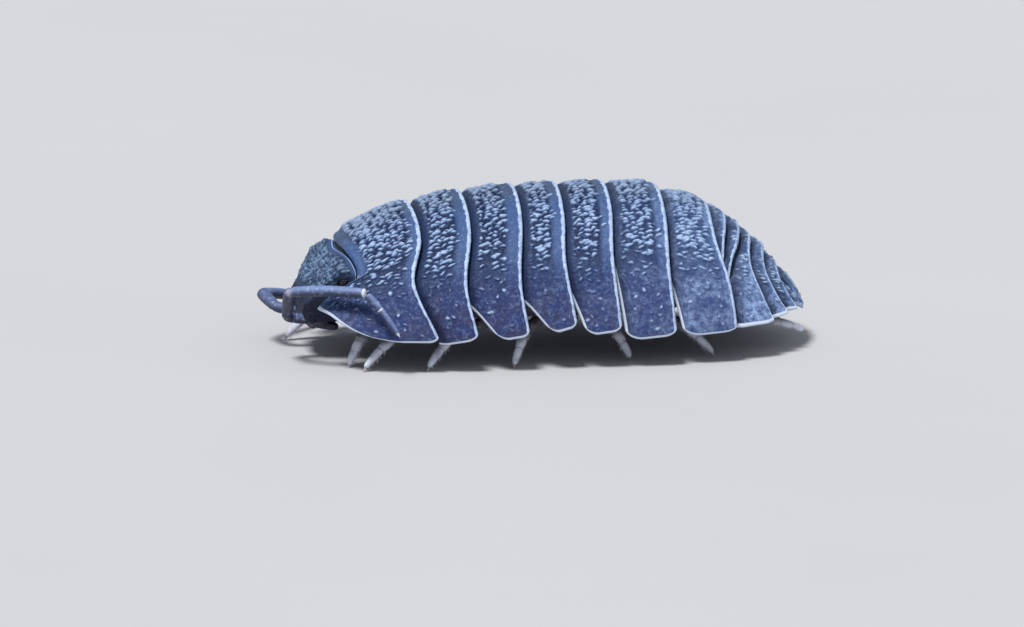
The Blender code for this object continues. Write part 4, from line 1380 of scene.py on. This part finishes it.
class WOODLOUSE_OT_feelers(PieceOperator, bpy.types.Operator):
    """Make both feelers, article by article, with their hairs"""

    bl_idname = "woodlouse.feelers"
    bl_label = "Feelers"

    def execute(self, context):
        finish = feeler_finish(self.limbs)
        thick = in_mm(self.limbs.feeler_radius)
        hair = in_mm(self.limbs.hair_length)
        pale = {"pale": 1.0, "top": 1.0}
        for number, (side, (root, turn, elbow, bend, tip)) in enumerate(FEELERS.items()):
            form = Form("top", "pale")
            socket = np.add(root, FEELER_SOCKET)
            paths = {
                "base": smooth_path([socket, turn, np.add(turn, elbow) / 2 + BASE_BOW, elbow], 120),
                "long": smooth_path([elbow, np.add(elbow, bend) / 2 + LONG_BOW, bend], 120),
                "whip": smooth_path([bend, np.add(bend, tip) / 2 + WHIP_BOW, tip], 120),
            }
            for part, joints, girths, sides, marks, pinch in (
                ("base", BASE_JOINTS, BASE_GIRTHS, 28, feeler_base_marks, 0.1),
                ("long", LONG_JOINTS, LONG_GIRTHS, 28, feeler_marks, 0.14),
                ("whip", WHIP_JOINTS, WHIP_GIRTHS, 24, feeler_marks, 0.2),
            ):
                add_articles(form, paths[part], joints, girths, thick, sides, marks, pinch)
            for part, (at, girth) in RING_AT.items():
                ring = stretch(paths[part], max(at - RING_HALF, 0), min(at + RING_HALF, 1), 10)
                swell = np.sin(np.linspace(0.25, math.pi - 0.25, len(ring))) ** 0.5
                form.add_rings(tube_rings(ring, thick * girth * swell, 24), pale)
            point = stretch(paths["whip"], POINT_FROM, 1.0, 10)
            form.add_rings(tube_rings(point, thick * np.linspace(*POINT_GIRTHS, len(point)), 12), pale)
            for k, (part, (girth, count)) in enumerate(FEELER_HAIRS.items()):
                radii = np.full(len(paths[part]), thick * girth)
                hairs = hairs_on(paths[part], radii, count, hair, FEELER_SEED + number * 7 + k)
                form.add_spikes(*hairs, HAIR_RADIUS, {"top": 1.0})
            nodes = [f"antenna_{part}_{side}" for part in ("base", "long", "tip")]
            make_piece(f"feeler_{side}", form, finish, nodes)
        return {"FINISHED"}


class WOODLOUSE_OT_legs(PieceOperator, bpy.types.Operator):
    """Make the fourteen legs with their spines and claws"""

    bl_idname = "woodlouse.legs"
    bl_label = "Legs"

    def execute(self, context):
        finish = limb_finish(self.limbs)
        horn = plain_finish("claw horn", self.limbs.claw, self.limbs.limb_dark, 4, 0.3)
        thick = in_mm(self.limbs.leg_radius)
        claw = in_mm(self.limbs.claw_radius)
        for word, side, feet in (("left", -1, FEET_LEFT), ("right", 1, FEET_RIGHT)):
            for i, root_x in enumerate(LEG_ROOTS_X):
                route = leg_route(root_x, feet[i], side) if i < len(feet) else TRAILING_LEG
                path = smooth_path(route, 160)
                form = Form("waist", "upper")
                add_articles(form, path, LEG_JOINTS, LEG_GIRTHS, thick, 20, limb_marks, 0.2)
                self.add_spines(form, path, thick, side, i)
                make_piece(f"limb_{word}_{i + 1}", form, finish, [f"leg_{word}_{i + 1}"])
                tip = stretch(path, CLAW_FROM, 1.0, 14)
                tip[:, 2] = np.maximum(tip[:, 2], claw * 0.2)
                claw_form = Form()
                claw_form.add_rings(tube_rings(tip, claw * np.linspace(1, CLAW_POINT, 14) ** 0.8, 12))
                make_piece(f"claw_{word}_{i + 1}", claw_form, horn)
        return {"FINISHED"}

    def add_spines(self, form, path, thick, side, number):
        """Short spines along the inner side of the lower articles, in pairs, and fine hairs."""
        draw = np.random.default_rng(SPINE_SEED + number * 2 + (side > 0))
        count = SPINE_PAIRS * 2
        share = np.repeat(np.linspace(*SPINE_SPAN, SPINE_PAIRS), 2) + draw.uniform(-0.01, 0.01, count)
        across, lift = ring_axes(path)
        index = (share * (len(path) - 1)).astype(int)
        along = unit(np.gradient(path, axis=0))[index]
        split = np.tile((SPINE_SPLIT, -SPINE_SPLIT), SPINE_PAIRS)[:, None]
        inward = -lift[index] + across[index] * split
        girth = np.interp(share, *SPINE_GIRTHS)[:, None]
        roots = path[index] + unit(inward) * thick * girth * 0.8
        lengths = in_mm(self.limbs.spine_length) * draw.uniform(0.6, 1.2, count)
        form.add_spikes(roots, inward + along * SPINE_LEAN, lengths, SPINE_RADIUS)
        hairy = path[slice(*LEG_HAIR_POINTS)]
        radii = thick * np.linspace(*LEG_HAIR_GIRTHS, len(hairy))
        hairs = hairs_on(hairy, radii, LEG_HAIRS, LEG_HAIR_LENGTH, LEG_HAIR_SEED + number)
        form.add_spikes(*hairs, LEG_HAIR_RADIUS)


class WOODLOUSE_OT_underside(PieceOperator, bpy.types.Operator):
    """Make the soft underside and the gill flaps"""

    bl_idname = "woodlouse.underside"
    bl_label = "Underside"

    def execute(self, context):
        x = np.linspace(BELLY_FRONT_X, BELLY_REAR_X, 170)[:, None]
        depth = BELLY_DEPTH + BELLY_TAPER * ease(x, BELLY_TAPER_X, BELLY_REAR_X)
        neck = 1 - ease(x, *NECK_X)
        depth = depth - NECK_RISE * neck
        t = np.linspace(-BELLY_SPAN, BELLY_SPAN, 30)[None, :] * (1 - NECK_NARROWING * neck)
        arch = vault(x + 0 * t, t + 0 * x, depth + 0 * t)
        y = np.minimum(half_width(x) - depth - BELLY_SIDE_GAP, BELLY_HALF_WIDTH)
        y = y * (1 - NECK_NARROWING * neck)
        y = y * np.linspace(1, -1, 50)[None, :]
        swell = np.cos((x - LEG_ROOTS_X[0]) / SEGMENT_PITCH * math.pi) ** 2
        ridge = BELLY_SWELL * swell * (1 - (y / BELLY_HALF_WIDTH) ** 2)
        ridge = ridge - BELLY_REAR_DROP * ease(x, BELLY_TAPER_X - 1, BELLY_TAPER_X)
        under = np.stack([x + 0 * y, y, BELLY_FLOOR - ridge], axis=-1)
        form = Form()
        form.add_rings(np.concatenate([arch, under], axis=1))
        # The belly skin is coloured with painted shade.
        skin = plain_finish("belly skin", self.soft.belly, self.soft.belly_shade_clouds, 1.6, 0.45)
        make_piece("belly_skin", form, skin, ["belly"])
        gill = plain_finish("gill", self.soft.gill, self.soft.belly, 2.2, 0.4, 0.006)
        for word, side in (("left", -1), ("right", 1)):
            flaps = Form()
            for i in range(GILL_ROWS):
                wide = (GILL_OUTER_Y - GILL_NARROWING * i) / 2
                middle = (GILL_FIRST_X + (i + 0.5) * GILL_PITCH, side * (wide + GILL_INNER_Y), GILL_LEVEL)
                radii = (GILL_LENGTH, wide, GILL_THICKNESS)
                flaps.add_rings(pebble(middle, radii, GILL_SQUARENESS, GILL_TILT))
            make_piece(f"gills_{word}", flaps, gill, [f"pleopods_{word}"])
        return {"FINISHED"}


class WOODLOUSE_OT_stage(bpy.types.Operator):
    """Make the floor, the lights and the camera"""

    bl_idname = "woodlouse.stage"
    bl_label = "Stage"

    def execute(self, context):
        scene = context.scene
        stage = scene.woodlouse_stage
        mesh = bpy.data.meshes.new("floor")
        corners = [(x * FLOOR_HALF, y * FLOOR_HALF, 0) for x, y in ((-1, -1), (1, -1), (1, 1), (-1, 1))]
        mesh.from_pydata(corners, [], [(0, 1, 2, 3)])
        mesh.materials.append(floor_finish(stage))
        floor = bpy.data.objects.new("floor", mesh)
        scene.collection.objects.link(floor)

        scene.world = bpy.data.worlds.new("studio")
        scene.world.use_nodes = True
        sky = scene.world.node_tree.nodes["Background"]
        sky.inputs["Color"].default_value = (*stage.sky, 1)
        sky.inputs["Strength"].default_value = SKY_STRENGTH
        for name, direction, strength, spread_angle in LAMPS:
            light = bpy.data.lights.new(name, "SUN")
            light.energy = strength
            light.angle = math.radians(spread_angle)
            lamp = bpy.data.objects.new(name, light)
            lamp.rotation_euler = Vector(direction).to_track_quat("Z", "Y").to_euler()
            scene.collection.objects.link(lamp)
        scene.view_settings.view_transform = "Standard"

        camera = bpy.data.cameras.new("camera")
        camera.sensor_width = 36
        camera.lens = stage.pixels_per_mm * camera.sensor_width * in_mm(stage.distance) / IMAGE_WIDTH
        camera.clip_start = CLIP_NEAR
        camera.clip_end = CLIP_FAR
        holder = bpy.data.objects.new("camera", camera)
        back = Vector((
            math.sin(stage.azimuth) * math.cos(stage.elevation),
            -math.cos(stage.azimuth) * math.cos(stage.elevation),
            math.sin(stage.elevation),
        ))
        holder.location = Vector(AIM) * MM + back * stage.distance
        holder.rotation_euler = back.to_track_quat("Z", "Y").to_euler()
        scene.collection.objects.link(holder)
        scene.camera = holder
        return {"FINISHED"}


class WOODLOUSE_PT_panel(bpy.types.Panel):
    """Lists the pieces and the stage in the 3D view's sidebar"""

    bl_label = "Woodlouse"
    bl_space_type = "VIEW_3D"
    bl_region_type = "UI"
    bl_category = "Woodlouse"

    def draw(self, context):
        for operator in OPERATORS:
            self.layout.operator(operator.bl_idname)
        for group in ("woodlouse_shell", "woodlouse_limbs", "woodlouse_soft", "woodlouse_stage"):
            settings = getattr(context.scene, group)
            box = self.layout.box()
            for name in settings.__annotations__:
                box.prop(settings, name)


SETTINGS = {
    "woodlouse_shell": ShellSettings,
    "woodlouse_limbs": LimbSettings,
    "woodlouse_soft": SoftSettings,
    "woodlouse_stage": StageSettings,
}
OPERATORS = (
    WOODLOUSE_OT_trunk,
    WOODLOUSE_OT_tail,
    WOODLOUSE_OT_head,
    WOODLOUSE_OT_eyes,
    WOODLOUSE_OT_mouthparts,
    WOODLOUSE_OT_feelers,
    WOODLOUSE_OT_legs,
    WOODLOUSE_OT_underside,
    WOODLOUSE_OT_stage,
)


def register():
    """Adds the settings, the operators and the panel to Blender."""
    for name, group in SETTINGS.items():
        bpy.utils.register_class(group)
        setattr(bpy.types.Scene, name, bpy.props.PointerProperty(type=group))
    for kind in (*OPERATORS, WOODLOUSE_PT_panel):
        bpy.utils.register_class(kind)


def unregister():
    """Takes them out again."""
    for kind in (WOODLOUSE_PT_panel, *reversed(OPERATORS)):
        bpy.utils.unregister_class(kind)
    for name, group in SETTINGS.items():
        delattr(bpy.types.Scene, name)
        bpy.utils.unregister_class(group)


def main():
    """Makes every piece in order."""
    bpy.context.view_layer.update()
    register()
    bpy.ops.woodlouse.trunk()
    bpy.ops.woodlouse.tail()
    bpy.ops.woodlouse.head()
    bpy.ops.woodlouse.eyes()
    bpy.ops.woodlouse.mouthparts()
    bpy.ops.woodlouse.feelers()
    bpy.ops.woodlouse.legs()
    bpy.ops.woodlouse.underside()
    bpy.ops.woodlouse.stage()


if __name__ == "__main__":
    main()
